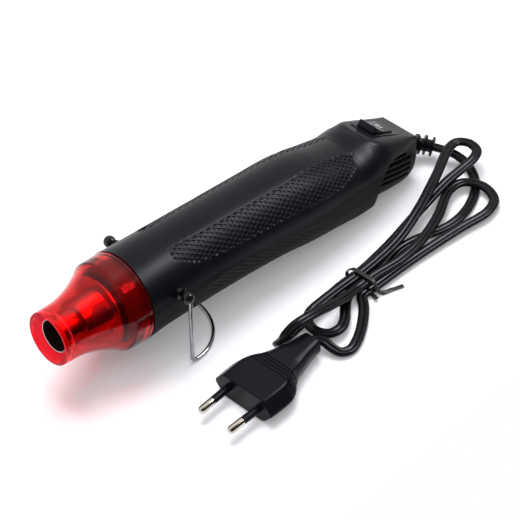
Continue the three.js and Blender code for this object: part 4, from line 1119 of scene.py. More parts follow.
@dataclass
class Casing(Assembly):
    """The two half casings, with the switch platform, the vented tail and the arch over it.

    Attributes:
        skin: Position, half width, height above the axis, depth below it, squareness of the lower half.
        tail: Position, half width, top, middle, bottom.
        platform_stand: How far the platform stands over the flanks in front and at its rear, and the
            distance between the two.
        shoulder_reach: Width of the shoulders; shoulder_hollow above 1 makes them hollow.
        ramp_hollow: Makes the ramp before the platform hollow, above 1.
        slot_rows: Height at the pivot, start and end of each air slot.
        spigot: Start, end and radius of the seat for the guard.
        bush_hole: Position, height and radius of the hole for the stand's bushes.
        boot_hole: Start, end, height and radius of the hole for the lead's boot.
        switch_cut: Position, length, width, depth and height of the cut-out for the switch.
        half_block: Length, width and height of the block that keeps one half.
        along_steps: Steps of the skin's grid, and the positions along the tool where they fall.
        round_steps: Steps of the grid, and the degrees round the tool where they fall.
    """

    skin: tuple[Row, ...] = (
        (42.7, 22.6, 22.8, 22.4, 2.0),
        (55.0, 22.2, 23.4, 20.4, 2.0),
        (100.0, 22.1, 24.3, 19.5, 2.0),
        (132.0, 22.7, 24.4, 20.8, 2.0),
        (148.0, 23.2, 24.1, 22.4, 2.1),
        (160.0, 23.0, 22.7, 23.3, 2.2),
        (172.0, 22.5, 20.3, 24.0, 2.3),
        (187.0, 21.5, 17.9, 24.4, 2.7),
        (199.0, 21.0, 17.0, 24.4, 2.7),
        (210.0, 19.5, 13.0, 24.4, 2.7),
        (222.0, 16.5, 9.0, 24.4, 2.7),
        (233.4, 12.5, 4.0, 24.4, 2.7),
    )
    tail: tuple[Row, ...] = (
        (186.0, 18.6, 13.0, -2.0, -17.4),
        (200.0, 18.4, 12.0, -2.5, -18.4),
        (213.0, 17.8, 9.5, -3.5, -19.8),
        (226.0, 16.2, 5.6, -5.0, -20.6),
        (232.0, 14.0, 3.6, -5.8, -18.8),
        (235.3, 11.4, 2.2, -6.3, -15.5),
    )
    tail_square: float = 2.8
    wall: float = 1.9
    tail_wall: float = 1.7
    seam: float = 0.05
    heel_position: float = 197.0
    heel_depth: float = 24.4
    heel_edge: float = 3.4
    heel_lean: float = 1.8
    arch_height: float = 6.9
    arch_reach: float = 11.0
    platform_front: float = 195.7
    platform_height: float = 20.0
    platform_slope: float = 20.6
    platform_half: float = 11.8
    platform_corner: float = 9.0
    platform_stand: Row = (3.0, 0.6, 12.0)
    shoulder_reach: float = 7.5
    shoulder_hollow: float = 1.15
    edge_blend: float = 2.2
    ramp_start: float = 184.0
    ramp_hollow: float = 1.7
    slot_rows: tuple[Row, ...] = (
        (5.2, 208.5, 222.0),
        (2.5, 203.5, 225.3),
        (-0.7, 200.5, 225.0),
        (-4.0, 199.5, 225.0),
        (-7.5, 199.5, 224.5),
    )
    slot_pivot: float = 210.0
    slot_fall: float = 11.3
    slot_height: float = 1.9
    slot_inner: float = 9.8
    spigot: Row = (30.0, 46.7, 20.5)
    bush_hole: Row = (58.8, 7.3, 2.5)
    boot_hole: Row = (226.0, 240.0, -9.8, 4.3)
    switch_cut: Row = (212.4, 19.2, 13.2, 16.0, 8.0)
    screws: tuple[Row, ...] = ((66.0, 18.0), (66.0, -17.0), (158.0, 17.0), (189.0, -20.0))
    screw_seat: float = 7.0
    screw_hole: float = 2.9
    cut_aside: float = 40.0
    half_block: Row = (300.0, 60.0, 80.0)
    below_table: tuple[Row, Row] = ((-100.0, -80.0, -60.0), (400.0, 80.0, 0.0))
    along_steps: tuple[Row, ...] = (
        (0, 42.7), (14, 61), (308, 187), (330, 195.7), (344, 199.5), (382, 229), (394, 233.4),
    )
    round_steps: tuple[Row, ...] = (
        (0, -90), (8, -62), (118, 8), (126, 26), (198, 74),
        (214, 106), (286, 154), (294, 172), (404, 242), (412, 270),
    )
    crease: float = 34.0
    grip: Grip = field(default_factory=Grip)

    def __post_init__(self) -> None:
        """Prepares the smooth tables."""
        self.width, self.crown, self.keel, self.square = (through(self.skin, k) for k in (1, 2, 3, 4))
        self.tail_at = [through(self.tail, k) for k in (1, 2, 3, 4)]

    def platform_at(self, along: float) -> float:
        """Returns the height of the platform's plane."""
        fall = math.tan(math.radians(self.platform_slope))
        return self.platform_height - (along - self.platform_front) * fall

    def platform_half_at(self, along: float) -> float:
        """Returns half the width of the platform, with its round corners, or of the ramp before it."""
        open_share = 1 - min(max((along - self.platform_front) / self.platform_corner, 0.0), 1.0)
        return self.platform_half - self.platform_corner * (1 - math.sqrt(1 - open_share**2))

    def top_at(self, along: float) -> float:
        """Finds the top of the plain skin; behind the ramp its flanks rise to the platform's edges.

        Args:
            along: Position along the axis.

        Returns:
            The height in the middle.
        """
        crown = self.crown(along)
        if along <= self.ramp_start:
            return crown
        front, rear, reach = self.platform_stand
        behind = max(along - self.platform_front, 0.0)
        stand = front + (rear - front) * smooth_step(0, reach, behind)
        edge = self.platform_at(self.platform_front + behind) - stand
        flank = edge / math.sqrt(1 - min(self.platform_half / self.width(along), 0.95) ** 2)
        return crown + (flank - crown) * smooth_step(self.ramp_start - 2, self.platform_front + 3, along)

    def raised(self, along: float, across: float, top: float) -> float:
        """Returns the height of the upper skin with the platform, its ramp and its hollow shoulders.

        Args:
            along: Position along the axis.
            across: Distance from the middle plane.
            top: Height of the plain skin in the middle.

        Returns:
            The height above the axis.
        """
        width = self.width(along)

        def skin(y: float) -> float:
            """Returns the height of the plain skin."""
            return top * math.sqrt(max(0.0, 1 - (y / width) ** 2))

        here = skin(across)
        if along <= self.ramp_start:
            return here
        half = self.platform_half_at(along)
        plane = self.platform_at(max(along, self.platform_front))
        share = min((along - self.ramp_start) / (self.platform_front - self.ramp_start), 1.0)
        rise = share**self.ramp_hollow
        reach = min(self.shoulder_reach, width - half - 0.5)
        slope = max(1 - (abs(across) - half) / reach, 0.0) ** self.shoulder_hollow
        flat = here + (plane - here) * rise
        side = here + (plane - skin(half)) * slope * rise
        return -smooth_max(-flat, -side, self.edge_blend * rise + 0.001)

    def skin_point(self, along: float, angle: float) -> Vector:
        """Returns a point of the smooth skin.

        Args:
            along: Position along the axis.
            angle: Degrees round the casing.

        Returns:
            The point, in the tool's frame.
        """
        top = self.top_at(along)
        turn = math.radians(angle)
        if math.sin(turn) >= 0:
            at = oval(self.width(along), top, 0, -top, 2, turn)
            at.z = self.raised(along, at.y, top)
        else:
            at = oval(self.width(along), top, 0, -self.keel(along), self.square(along), turn)
        at.x = along
        return at

    def place(self, share_along: float, share_round: float) -> Vector:
        """Finds a point of the skin with its relief.

        Args:
            share_along: Share of the grid's steps along the tool.
            share_round: Share of its steps round the tool.

        Returns:
            The point, in the tool's frame.
        """
        along = between(self.along_steps, 1, share_along * self.along_steps[-1][0])
        angle = between(self.round_steps, 1, share_round * self.round_steps[-1][0])
        at = self.skin_point(along, angle)
        depth = self.grip.depth(along, angle % 360)
        if depth > 0:
            inward = Vector((0, at.y / self.width(along) ** 2, at.z / self.crown(along) ** 2)).normalized()
            at -= inward * depth
        return at

    def arch(self) -> Mesh:
        """Makes what is cut away behind the heel, under the arched edge.

        Returns:
            A closed solid.
        """
        foot = self.heel_position - self.heel_lean
        peak = (self.heel_position + self.arch_reach, self.arch_height)
        far, low = self.tail[-1][0] + 4, -self.half_block[2]
        rise = (
            (foot, -self.heel_depth / 2),
            (foot - 0.8, 0),
            (peak[0] - 9, self.arch_height - 0.2),
            peak,
        )
        fall = (peak, (peak[0] + 9, self.arch_height), (peak[0] + 19, 1.5), (far, -1))
        outline = [
            (self.heel_position, low),
            (self.heel_position, self.heel_edge - self.heel_depth),
            *pulled(rise, 24),
            *pulled(fall, 24)[1:],
            (far, low),
        ]
        return plate(outline, self.half_block[1])

    def tail_solid(self, inset: float, rings: int, sides: int) -> Mesh:
        """Makes the tail, or the hollow inside it.

        Args:
            inset: How far the form lies inside the tail's skin.
            rings: Steps along it.
            sides: Steps round it.

        Returns:
            A closed solid.
        """
        half, top, middle, bottom = self.tail_at
        start, end = self.tail[0][0], self.tail[-1][0] - inset

        def place(share: float, turn: float) -> Vector:
            """Finds a point of the form.

            Args:
                share: Share along it.
                turn: Share round it.

            Returns:
                The point, in the tool's frame.
            """
            x = start + (end - start) * share
            heights = (top(x) - inset, middle(x), bottom(x) + inset)
            at = oval(half(x) - inset, *heights, self.tail_square, 2 * math.pi * turn)
            at.x = x
            return at

        return wrapped(rings, sides, place)

    def hollow(self) -> Mesh:
        """Makes the space inside the main casing.

        Returns:
            A closed solid.
        """
        start, end = self.skin[0][0] - self.wall, self.heel_position - self.wall - 0.3

        def place(share: float, turn: float) -> Vector:
            """Finds a point of the space's skin.

            Args:
                share: Share along it.
                turn: Share round it.

            Returns:
                The point, in the tool's frame.
            """
            x = start + (end - start) * share
            angle = 2 * math.pi * turn
            square = 2 if math.sin(angle) >= 0 else self.square(x)
            top, low = self.crown(x) - self.wall, self.wall - self.keel(x)
            at = oval(self.width(x) - self.wall, top, 0, low, square, angle)
            at.x = x
            return at

        return wrapped(40, 64, place)

    def slots(self) -> Mesh:
        """Makes the air slots of both flanks of the tail, which fall toward its end.

        Returns:
            All the slots as one mesh.
        """
        cutters = []
        high = self.slot_height / 2
        turn = Matrix.Rotation(math.radians(self.slot_fall), 4, "Y")
        for height, start, end in self.slot_rows:
            for side in (-1, 1):
                near, far = sorted((side * self.slot_inner, side * self.cut_aside))
                first, last = start - self.slot_pivot, end - self.slot_pivot
                cutter = block((first, near, -high), (last, far, high), 0.5)
                cutter.transform(Matrix.Translation((self.slot_pivot, 0, height)) @ turn)
                cutters.append(cutter)
        return joined(cutters)

    def on_platform(self) -> Matrix:
        """Finds the switch's place: its middle on the platform, and up square to it.

        Returns:
            From the switch's frame to the tool's frame.
        """
        position = self.switch_cut[0]
        turn = Matrix.Rotation(math.radians(self.platform_slope), 4, "Y")
        return Matrix.Translation((position, 0, self.platform_at(position))) @ turn

    def whole(self) -> Mesh:
        """Makes the casing in one piece.

        Returns:
            A closed solid.
        """
        skin = wrapped(self.along_steps[-1][0], self.round_steps[-1][0], self.place)
        bmesh.ops.triangulate(skin, faces=skin.faces[:], quad_method="SHORT_EDGE")
        table = block(*self.below_table)
        table.transform(self.shop.tool.inverted() @ self.shop.level)
        mouth = bar(*self.spigot, 96)
        start, end, height, radius = self.boot_hole
        boot = bar(start, end, radius, 32)
        bmesh.ops.translate(boot, vec=(0, 0, height), verts=boot.verts)
        _, long, wide, deep, high = self.switch_cut
        pocket = pad(long, wide, -deep, high)
        pocket.transform(self.on_platform())
        bushes = cross_bar(self.bush_hole[:2], -self.cut_aside, self.cut_aside, self.bush_hole[2], 32)
        wells = [cross_bar(at, self.screw_seat, self.cut_aside, self.screw_hole) for at in self.screws]
        insides = (self.hollow(), self.tail_solid(self.tail_wall, 20, 48))
        spaces = (table, *insides, mouth, boot, pocket, bushes, self.slots(), joined(wells))
        return carved(
            skin,
            [
                (Cut.TAKE_AWAY, self.arch()),
                (Cut.JOIN, self.tail_solid(0, 40, 96)),
                *((Cut.TAKE_AWAY, part) for part in spaces),
            ],
        )

    def build(self) -> None:
        """Builds the casing and parts it into its two halves."""
        whole = self.whole()
        long, wide, high = self.half_block
        halves = (("left_shell", -wide, -self.seam / 2), ("right_shell", self.seam / 2, wide))
        for node, near, far in halves:
            keep = block((0, near, -high), (long, far, high))
            half = carved(whole.copy(), [(Cut.KEEP_COMMON, keep)])
            self.add(node, "moulding", half, ["casing_black"], "casing_plastic", crease=self.crease)
        whole.free()


@dataclass
class Nozzle(Assembly):
    """The red guard with the stepped tube and the dark ring inside it.

    Attributes:
        tip_flare: How much wider the straight tip is at its rear than at its rim.
        flare_pull: Place behind the tip, and height over it, that the flare is pulled toward.
        ring_end: Rear of the dark ring, whose front is chamfered over ring_chamfer.
        gap: Room between pieces.
    """

    rim_radius: float = 13.1
    rim_round: float = 0.8
    tip_length: float = 9.0
    tip_flare: float = 0.25
    flare_pull: Row = (10.6, 0.7)
    length: float = 42.4
    collar_length: float = 10.6
    collar_radius: float = 22.5
    collar_taper: float = 0.35
    shoulder_round: float = 1.2
    wall: float = 1.8
    dish_depth: float = 3.9
    dish_wall: float = 1.5
    spigot_radius: float = 20.2
    spigot_length: float = 4.0
    spigot_wall: float = 1.5
    bore: float = 7.7
    tube_wall: float = 0.5
    tube_lip: float = 0.4
    neck_end: float = 14.0
    step: float = 0.7
    can: float = 11.2
    flange_position: float = 28.6
    flange_radius: float = 16.4
    flange_thickness: float = 0.8
    ring_end: float = 46.9
    ring_chamfer: float = 4.0
    shield_radius: float = 13.4
    gap: float = 0.3
    sides: int = 128

    def guard_outline(self) -> list[Row]:
        """Draws the guard's wall, from the hole in its dish outwards and back inside.

        Returns:
            Points of (position, radius).
        """
        collar_front = self.length - self.collar_length
        tip_radius = self.rim_radius + self.tip_flare
        shoulder = self.collar_radius - self.collar_taper
        soft = self.shoulder_round
        start = (self.tip_length, tip_radius)
        pull = (self.tip_length + self.flare_pull[0], tip_radius + self.flare_pull[1])
        end = (collar_front - soft * 0.5, shoulder - soft * 0.8)
        wall = [
            (self.rim_round * 2, self.rim_radius),
            *pulled((start, pull, end), 28),
            (collar_front + soft * 0.15, shoulder - soft * 0.2),
            (collar_front + soft * 0.5, shoulder - soft * 0.06),
            (collar_front + soft, shoulder),
        ]
        floor = self.dish_depth + self.dish_wall
        inner = []
        for k, (x, radius) in enumerate(wall):
            x0, r0 = wall[max(k - 1, 0)]
            x1, r1 = wall[min(k + 1, len(wall) - 1)]
            long = math.hypot(x1 - x0, r1 - r0)
            point = (x + self.wall * (r1 - r0) / long, radius - self.wall * (x1 - x0) / long)
            if point[0] > floor + 1.2:
                inner.append(point)
        hole = self.bore + self.tube_wall + self.gap
        rim = [
            (self.rim_round * (1 - math.sin(a)), self.rim_radius - self.rim_round * (1 - math.cos(a)))
            for a in evenly(math.pi * 0.86, 0, 8)
        ]
        spigot_end = self.length + self.spigot_length
        return [
            (floor, hole),
            (self.dish_depth, hole),
            (self.rim_round * 1.3, self.rim_radius - self.rim_round * 2.4),
            *rim,
            *wall,
            (self.length - 0.4, self.collar_radius),
            (self.length, self.collar_radius - 0.4),
            (self.length, self.spigot_radius),
            (spigot_end, self.spigot_radius),
            (spigot_end, self.spigot_radius - self.spigot_wall),
            *reversed(inner),
            (floor + 0.6, self.rim_radius - self.wall - 0.6),
        ]

    def tube_outline(self) -> list[Row]:
        """Draws the stepped tube's wall, with a small lip and rounded steps.

        Returns:
            Points of (position, radius).
        """
        outer, inner = self.bore + self.tube_wall, self.can - self.tube_wall
        rear = self.flange_position + self.flange_thickness
        front = self.dish_depth - self.tube_lip
        step_end = self.neck_end + self.step
        return [
            (front, self.bore),
            (front - 0.12, self.bore + self.tube_wall / 2),
            (front, outer),
            (self.neck_end - 0.3, outer),
            (self.neck_end, outer + 0.2),
            (step_end - 0.15, self.can - 0.35),
            (step_end + 0.3, self.can),
            (self.flange_position - 0.5, self.can),
            (self.flange_position - 0.1, self.can + 0.2),
            (self.flange_position, self.can + 0.6),
            (self.flange_position, self.flange_radius),
            (rear, self.flange_radius),
            (rear, inner),
            (step_end + self.tube_wall, inner),
            (self.neck_end + self.tube_wall, self.bore),
        ]

    def ring_outline(self) -> list[Row]:
        """Draws the dark insulating ring behind the flange.

        Returns:
            Points of (position, radius).
        """
        front = self.flange_position + self.flange_thickness + self.gap
        inner = self.shield_radius + self.gap
        outer = self.spigot_radius - self.spigot_wall - self.gap
        return [
            (front, inner),
            (front, self.flange_radius - 0.3),
            (front + 0.3, self.flange_radius),
            (front + self.ring_chamfer * 0.55, self.flange_radius + (outer - self.flange_radius) * 0.5),
            (front + self.ring_chamfer, outer),
            (self.ring_end, outer),
            (self.ring_end, inner),
        ]

    def build(self) -> None:
        """Builds the guard, the tube and the ring, each with a second finish on some of its faces."""
        guard = turned(self.guard_outline(), self.sides)
        for face in guard.faces:
            in_dish = face.normal.x < -0.6 and face.calc_center_median().x < self.dish_depth
            face.material_index = int(in_dish)
        self.add("nozzle_guard", "moulding", guard, ["clear_red", "frosted_red"], "guard_plastic")
        tube = turned(self.tube_outline(), self.sides)
        for face in tube.faces:
            middle = face.calc_center_median()
            outward = Vector((0, middle.y, middle.z)).normalized()
            # Faces that look into the bore get the near-black finish, a painted shade for the dark inside
            # the tube.
            face.material_index = int(face.normal.dot(outward) < -0.5)
        self.add("nozzle_tube", "drawn", tube, ["tube_steel", "bore_shade_black"], "tube_steel")
        ring = turned(self.ring_outline(), self.sides)
        # The ring's front face and chamfer get the darker insulator colour as painted shade; the faces
        # behind them get the paler one.
        pale_from = self.flange_position + self.ring_chamfer * 0.9
        for face in ring.faces:
            face.material_index = int(face.calc_center_median().x > pale_from)
        self.add("insulator_ring", "turned", ring, ["insulator_front_shade", "pale_insulator"], "dark_ceramic")


@dataclass
class WireStand(Assembly):
    """The folding wire stand with its balls, and the two bushes that it turns in.

    Attributes:
        pivot_inner: Where the wire's ends lie inside the casing, across the tool.
        bush_reach: Thickness of a bush outside the casing; leg_reach is the distance to a leg.
    """

    casing: Casing
    wire: float = 1.0
    leg_bend: float = 1.5
    foot_bend: float = 3.2
    foot_reach: float = 28.3
    pivot_inner: float = 17.5
    bush_shank: float = 2.2
    bush_flange: float = 2.9
    bush_reach: float = 0.7
    leg_reach: float = 3.7
    knob: float = 3.0
    bush_lap: float = 1.5
    casing_half: float = 22.17
    gap: float = 0.3
    sides: int = 20

    def route(self, pivot: Vector, spread: float) -> list[Vector]:
        """Draws the wire's middle line.

        Args:
            pivot: Middle of the pivot, in the table's frame.
            spread: Distance of each leg from the middle.

        Returns:
            Points in the table's frame, from one end of the wire to the other.
        """

        def corner(centre: Vector, radius: float, start: Vector, end: Vector) -> list[Vector]:
            """Returns a quarter turn."""
            turns = evenly(0, math.pi / 2, 8)
            return [centre + start * radius * math.cos(a) + end * radius * math.sin(a) for a in turns]

        foot_x = pivot.x + self.foot_bend
        leg_top = Vector((pivot.x, self.leg_bend - spread, pivot.z - self.leg_bend))
        leg_foot = Vector((foot_x, -spread, self.wire + self.foot_bend))
        side = [
            Vector((pivot.x, -self.pivot_inner, pivot.z)),
            *corner(leg_top, self.leg_bend, Vector((0, 0, 1)), Vector((0, -1, 0))),
            *corner(leg_foot, self.foot_bend, Vector((-1, 0, 0)), Vector((0, 0, -1))),
        ]
        depth = self.foot_reach - self.foot_bend
        foot = [
            Vector((foot_x + depth * math.sin(a), -spread * math.cos(a), self.wire))
            for a in evenly(0, math.pi, 48)[1:-1]
        ]
        other = [Vector((at.x, -at.y, at.z)) for at in reversed(side)]
        return [*side, *foot, *other]

    def build(self) -> None:
        """Builds the wire with its balls, and both bushes."""
        position, height, _ = self.casing.bush_hole
        to_tool = Matrix.Translation((position, 0, height))
        flange = self.casing_half + self.gap
        end = flange + self.bush_reach
        spread = flange + self.leg_reach + self.gap + self.leg_bend
        pivot = self.shop.level.inverted() @ self.shop.tool @ Vector((position, 0, height))
        parts = [wire(self.route(pivot, spread), self.wire, self.sides)]
        middle = end + self.gap + self.knob
        half_turn = evenly(0, math.pi, 18)
        arc = [(-self.knob * math.cos(a), self.knob * math.sin(a)) for a in half_turn]
        for side in (-1, 1):
            ball = turned(arc, 36, closed=False)
            for face in ball.faces:
                face.material_index = 1
            quarter = Matrix.Rotation(math.pi / 2, 4, "Z")
            ball.transform(Matrix.Translation((pivot.x, side * middle, pivot.z)) @ quarter)
            parts.append(ball)
        finishes = ["stand_chrome", "knob_black"]
        level = self.shop.level
        self.add("stand_wire", "bent", joined(parts), finishes, "stand_chrome", Body.STAND, level)
        bore = self.wire + self.gap
        inner = self.pivot_inner + self.bush_lap
        outline = [
            (inner, bore),
            (inner, self.bush_shank),
            (flange, self.bush_shank),
            (flange, self.bush_flange - 0.2),
            (flange + 0.2, self.bush_flange),
            (end - 0.3, self.bush_flange),
            (end, self.bush_flange - 0.3),
            (end, bore),
        ]
        for name, side in (("left", -1), ("right", 1)):
            bush = turned(outline, 40)
            bush.transform(to_tool @ Matrix.Rotation(side * math.pi / 2, 4, "Z"))
            self.add(f"stand_bush_{name}", "turned", bush, ["knob_black"], "casing_plastic")


@dataclass
class RockerSwitch(Assembly):
    """The rocker switch on the platform, with its printed mark.

    Attributes:
        bezel: Length, width and height of the rim on the platform.
        body: Length, width and depth of the part below it.
        well: Length, width and depth, below the rim, of the space for the rocker.
        rim: Height that the well and the rocker are measured from.
        valley: Rounding of the rocker's middle, where its two halves meet.
        mark_ring: Inner and outer radius of the ring.
        mark_bar: Half width and half length of the bar.
        mark_place: Share of the rocker's half length, and distance from its middle, of both.
        film: Thickness of the print, and how far it stands over the rocker.
    """

    casing: Casing
    bezel: Row = (21.0, 15.0, 0.35)
    rim: float = 1.2
    body: Row = (18.6, 12.6, 13.0)
    well: Row = (18.0, 11.6, 7.0)
    half: float = 8.0
    width: float = 10.9
    thickness: float = 4.0
    throw: float = 10.5
    axle_depth: float = 1.2
    crown_rise: float = 0.4
    seat: float = 0.05
    valley: float = 0.4
    mark_ring: Row = (0.75, 1.3)
    mark_bar: Row = (0.3, 1.3)
    mark_place: Row = (0.4, 1.2)
    film: Row = (0.05, 0.02)

    def top(self, x: float) -> float:
        """Returns the height of the level rocker's face over its axle."""
        lean = x * math.tan(math.radians(self.throw))
        return self.rim + self.axle_depth + self.crown_rise + math.hypot(lean, self.valley) - self.valley

    def build(self) -> None:
        """Builds the switch's body, its rocker and the mark."""
        place = self.shop.tool @ self.casing.on_platform()
        long, wide, high = self.bezel
        bezel = pad(long, wide, self.seat, self.seat + high, 0.2)
        long, wide, deep = self.body
        body = pad(long, wide, -deep, 0.3, 0.2)
        long, wide, deep = self.well
        well = pad(long, wide, self.rim - deep, 6)
        body = carved(bezel, [(Cut.JOIN, body), (Cut.TAKE_AWAY, well)])
        self.add("switch_body", "moulding", body, ["switch_black"], "switch_plastic", place=place)
        places = evenly(-self.half, self.half, 24)
        under = [(x, self.top(x) - self.thickness) for x in places]
        rocker = plate(under + [(x, self.top(x)) for x in reversed(places)], self.width / 2)
        rims = [edge for edge in rocker.edges if edge.calc_face_angle(0.0) > math.radians(40)]
        round_edges(rocker, rims, 0.4)
        turn = Matrix.Rotation(math.radians(self.throw), 4, "Y")
        tipped = Matrix.Translation((0, 0, -self.axle_depth)) @ turn
        rocker.transform(tipped)
        finish = ["switch_black"]
        self.add("switch_rocker", "moulding", rocker, finish, "switch_plastic", Body.ROCKER, place)
        self.mark(place @ tipped)

    def mark(self, place: Matrix) -> None:
        """Prints the plain on mark, a bar and a ring, on the rear half of the rocker.

        Args:
            place: From the level rocker's frame to the row frame.
        """
        thick, over = self.film
        inner, outer = self.mark_ring
        wide, long = self.mark_bar
        ring = turned([(0, inner), (0, outer), (thick, outer), (thick, inner)], 32)
        stroke = block((0, -wide, -long), (thick, wide, long))
        along = self.half * self.mark_place[0]
        slope = math.atan2(self.top(along + 0.1) - self.top(along - 0.1), 0.2)
        lay = Matrix.Rotation(-math.pi / 2 - slope, 4, "Y")
        for mesh, side in ((ring, 1), (stroke, -1)):
            at = (along, side * self.mark_place[1], self.top(along) + over)
            mesh.transform(Matrix.Translation(at) @ lay)
        marks = joined([ring, stroke])
        finish = [self.palette["print_white"]]
        self.shop.piece("switch_marks", marks, finish, Body.ROCKER, "switch_plastic", (), place)


@dataclass(frozen=True)
class Fold:
    """One fold of the hank: out from the tie along one lane, round a tip, and back along another lane.

    Attributes:
        side: -1 toward the nozzle, 1 toward the tail.
        out: Lane of the strand that leaves the tie.
        back: Lane of the strand that returns.
        tip: Middle of the turn.
        radius: Radius of the turn.
        turn: Which way it turns, seen from above.
        headings: Headings of the two strands at the turn, away from the tie.
        lean: How far the plane of the turn is tipped.
        lifts: How far the two strands bend up.
        bows: How far they bend aside.
    """

    side: int
    out: int
    back: int
    tip: Row
    radius: float
    turn: int
    headings: Row
    lean: float
    lifts: Row
    bows: Row


@dataclass
class Plug(Assembly):
    """The flat two-pin plug with its sleeved pins.

    Attributes:
        stations: Distance behind the face, half width and half thickness.
        body_corner: Quarter of the front section, in shares of its half sizes; neck_corner is the neck's.
        waist: Distances behind the face between which the section changes from one to the other.
        groove_edge: Distance over which a groove's wall falls, mostly inside the groove.
        rows: Ends and steps of the stretches along the body, finest at the grooves.
        pin_spacing: Distance between the pins at the face; pin_toe is how far they lean together.
        pin_dome: Length of a pin's rounded tip, and where its straight part starts.
    """

    position: Row = (55.7, -64.65)
    yaw: float = 2.8
    height: float = 6.95
    stations: tuple[Row, ...] = (
        (0.0, 16.8, 6.3),
        (0.7, 17.35, 6.85),
        (13.0, 17.6, 6.85),
        (17.0, 16.4, 6.75),
        (20.0, 14.6, 6.65),
        (23.0, 12.2, 6.5),
        (28.0, 9.8, 6.2),
        (34.0, 8.2, 5.85),
        (40.0, 6.8, 5.4),
        (47.5, 5.6, 4.9),
    )
    body_corner: tuple[Row, ...] = ((0.99, 0.08), (0.72, 0.93), (0.66, 1.0))
    neck_corner: tuple[Row, ...] = ((0.98, 0.3), (0.8, 0.75), (0.45, 0.97))
    waist: Row = (17.0, 30.0)
    corner_round: float = 0.9
    end_round: Row = (0.9, 0.7)
    grooves: int = 4
    groove_start: float = 16.6
    groove_pitch: float = 1.9
    groove_length: float = 0.95
    groove_depth: float = 0.45
    groove_edge: Row = (0.05, 0.25)
    rows: tuple[tuple[float, float, int], ...] = ((1.2, 16.0, 20), (16.1, 24.6, 136), (25.0, 47.5, 64))
    pin_spacing: float = 18.6
    pin_toe: float = 1.65
    pin_length: float = 19.0
    pin_radius: float = 2.0
    pin_core: float = 1.2
    pin_dome: Row = (1.8, 2.1)
    pin_seat: float = 6.0
    sleeve_length: float = 10.0
    sleeve_radius: float = 1.9
    gap: float = 0.3
    pieces: list[str] = field(default_factory=list)

    @property
    def length(self) -> float:
        """The length of the body."""
        return self.stations[-1][0]

    @property
    def to_level(self) -> Matrix:
        """The plug's frame in the table's frame: its face at x = 0 and its pins toward -X."""
        turn = Matrix.Rotation(math.radians(self.yaw), 4, "Z")
        return Matrix.Translation((*self.position, self.height)) @ turn

    def inset(self, x: float) -> float:
        """Finds how deep the grip grooves and the rounded end go.

        Args:
            x: Distance behind the face.

        Returns:
            Depth below the body's skin.
        """
        before, within = self.groove_edge
        depth = 0.0
        for k in range(self.grooves):
            start = self.groove_start + k * self.groove_pitch
            rise = smooth_step(start - before, start + within, x)
            rise *= 1 - smooth_step(-within, before, x - start - self.groove_length)
            depth = max(depth, self.groove_depth * rise)
        reach, round_depth = self.end_round
        end = smooth_step(self.length - reach, self.length, x)
        return depth + round_depth * end * end

    def section(self, x: float) -> list[Vector]:
        """Draws the ring of the body, six-sided in front and rounder at the neck.

        Args:
            x: Distance behind the face.

        Returns:
            The ring's points.
        """
        half, thick = (through(self.stations, k)(x) - self.inset(x) for k in (1, 2))
        low, high = self.waist
        neck = min(max((x - low) / (high - low), 0.0), 1.0)
        quarter = []
        for (a, b), (c, d) in zip(self.body_corner, self.neck_corner):
            quarter.append((half * (a + (c - a) * neck), thick * (b + (d - b) * neck)))
        upper = [*quarter, *((-y, z) for y, z in reversed(quarter))]
        corners = [*upper, *((-y, -z) for y, z in upper)]
        return [Vector((x, y, z)) for y, z in rounded(corners, self.corner_round)]

    def build(self) -> None:
        """Builds the plug's body, pins and sleeves."""
        frame = self.shop.level @ self.to_level
        places = [0, 0.2, 0.45, 0.7]
        for start, end, steps in self.rows:
            places += evenly(start, end, steps)
        body = lofted([self.section(x) for x in places])
        made = [self.add("plug_body", "moulding", body, ["plug_black"], "plug_plastic", place=frame)]
        for name, side in (("left", -1), ("right", 1)):
            turn = Matrix.Rotation(side * math.radians(self.pin_toe), 4, "Z")
            place = frame @ Matrix.Translation((0, side * self.pin_spacing / 2, 0)) @ turn
            pin = turned(self.pin_outline(), 40, closed=False)
            node, finish = f"plug_pin_{name}", ["pin_nickel"]
            made.append(self.add(node, "turned", pin, finish, "pin_nickel", place=place))
            sleeve = turned(self.sleeve_outline(), 40)
            node, finish = f"pin_sleeve_{name}", ["plug_black"]
            made.append(self.add(node, "moulding", sleeve, finish, "plug_plastic", place=place))
        self.pieces += [piece.name for piece in made]

    def pin_outline(self) -> list[Row]:
        """Draws a pin, from its tip to its end inside the body.

        Returns:
            Points of (position, radius).
        """
        dome, straight = self.pin_dome
        shoulder = -self.sleeve_length - self.gap
        tip = []
        for a in evenly(0, math.pi / 2, 8):
            tip.append((-self.pin_length + dome * (1 - math.cos(a)), self.pin_radius * math.sin(a) * 0.98))
        return [
            *tip,
            (-self.pin_length + straight, self.pin_radius),
            (shoulder, self.pin_radius),
            (shoulder, self.pin_core),
            (self.pin_seat, self.pin_core),
            (self.pin_seat, 0),
        ]

    def sleeve_outline(self) -> list[Row]:
        """Draws the sleeve round the root of a pin.

        Returns:
            Points of (position, radius).
        """
        bore = self.pin_core + self.gap / 2
        return [
            (-self.sleeve_length, bore),
            (-self.sleeve_length, self.sleeve_radius - 0.15),
            (-self.sleeve_length + 0.15, self.sleeve_radius),
            (-self.gap - 0.1, self.sleeve_radius),
            (-self.gap, self.sleeve_radius - 0.1),
            (-self.gap, bore),
        ]


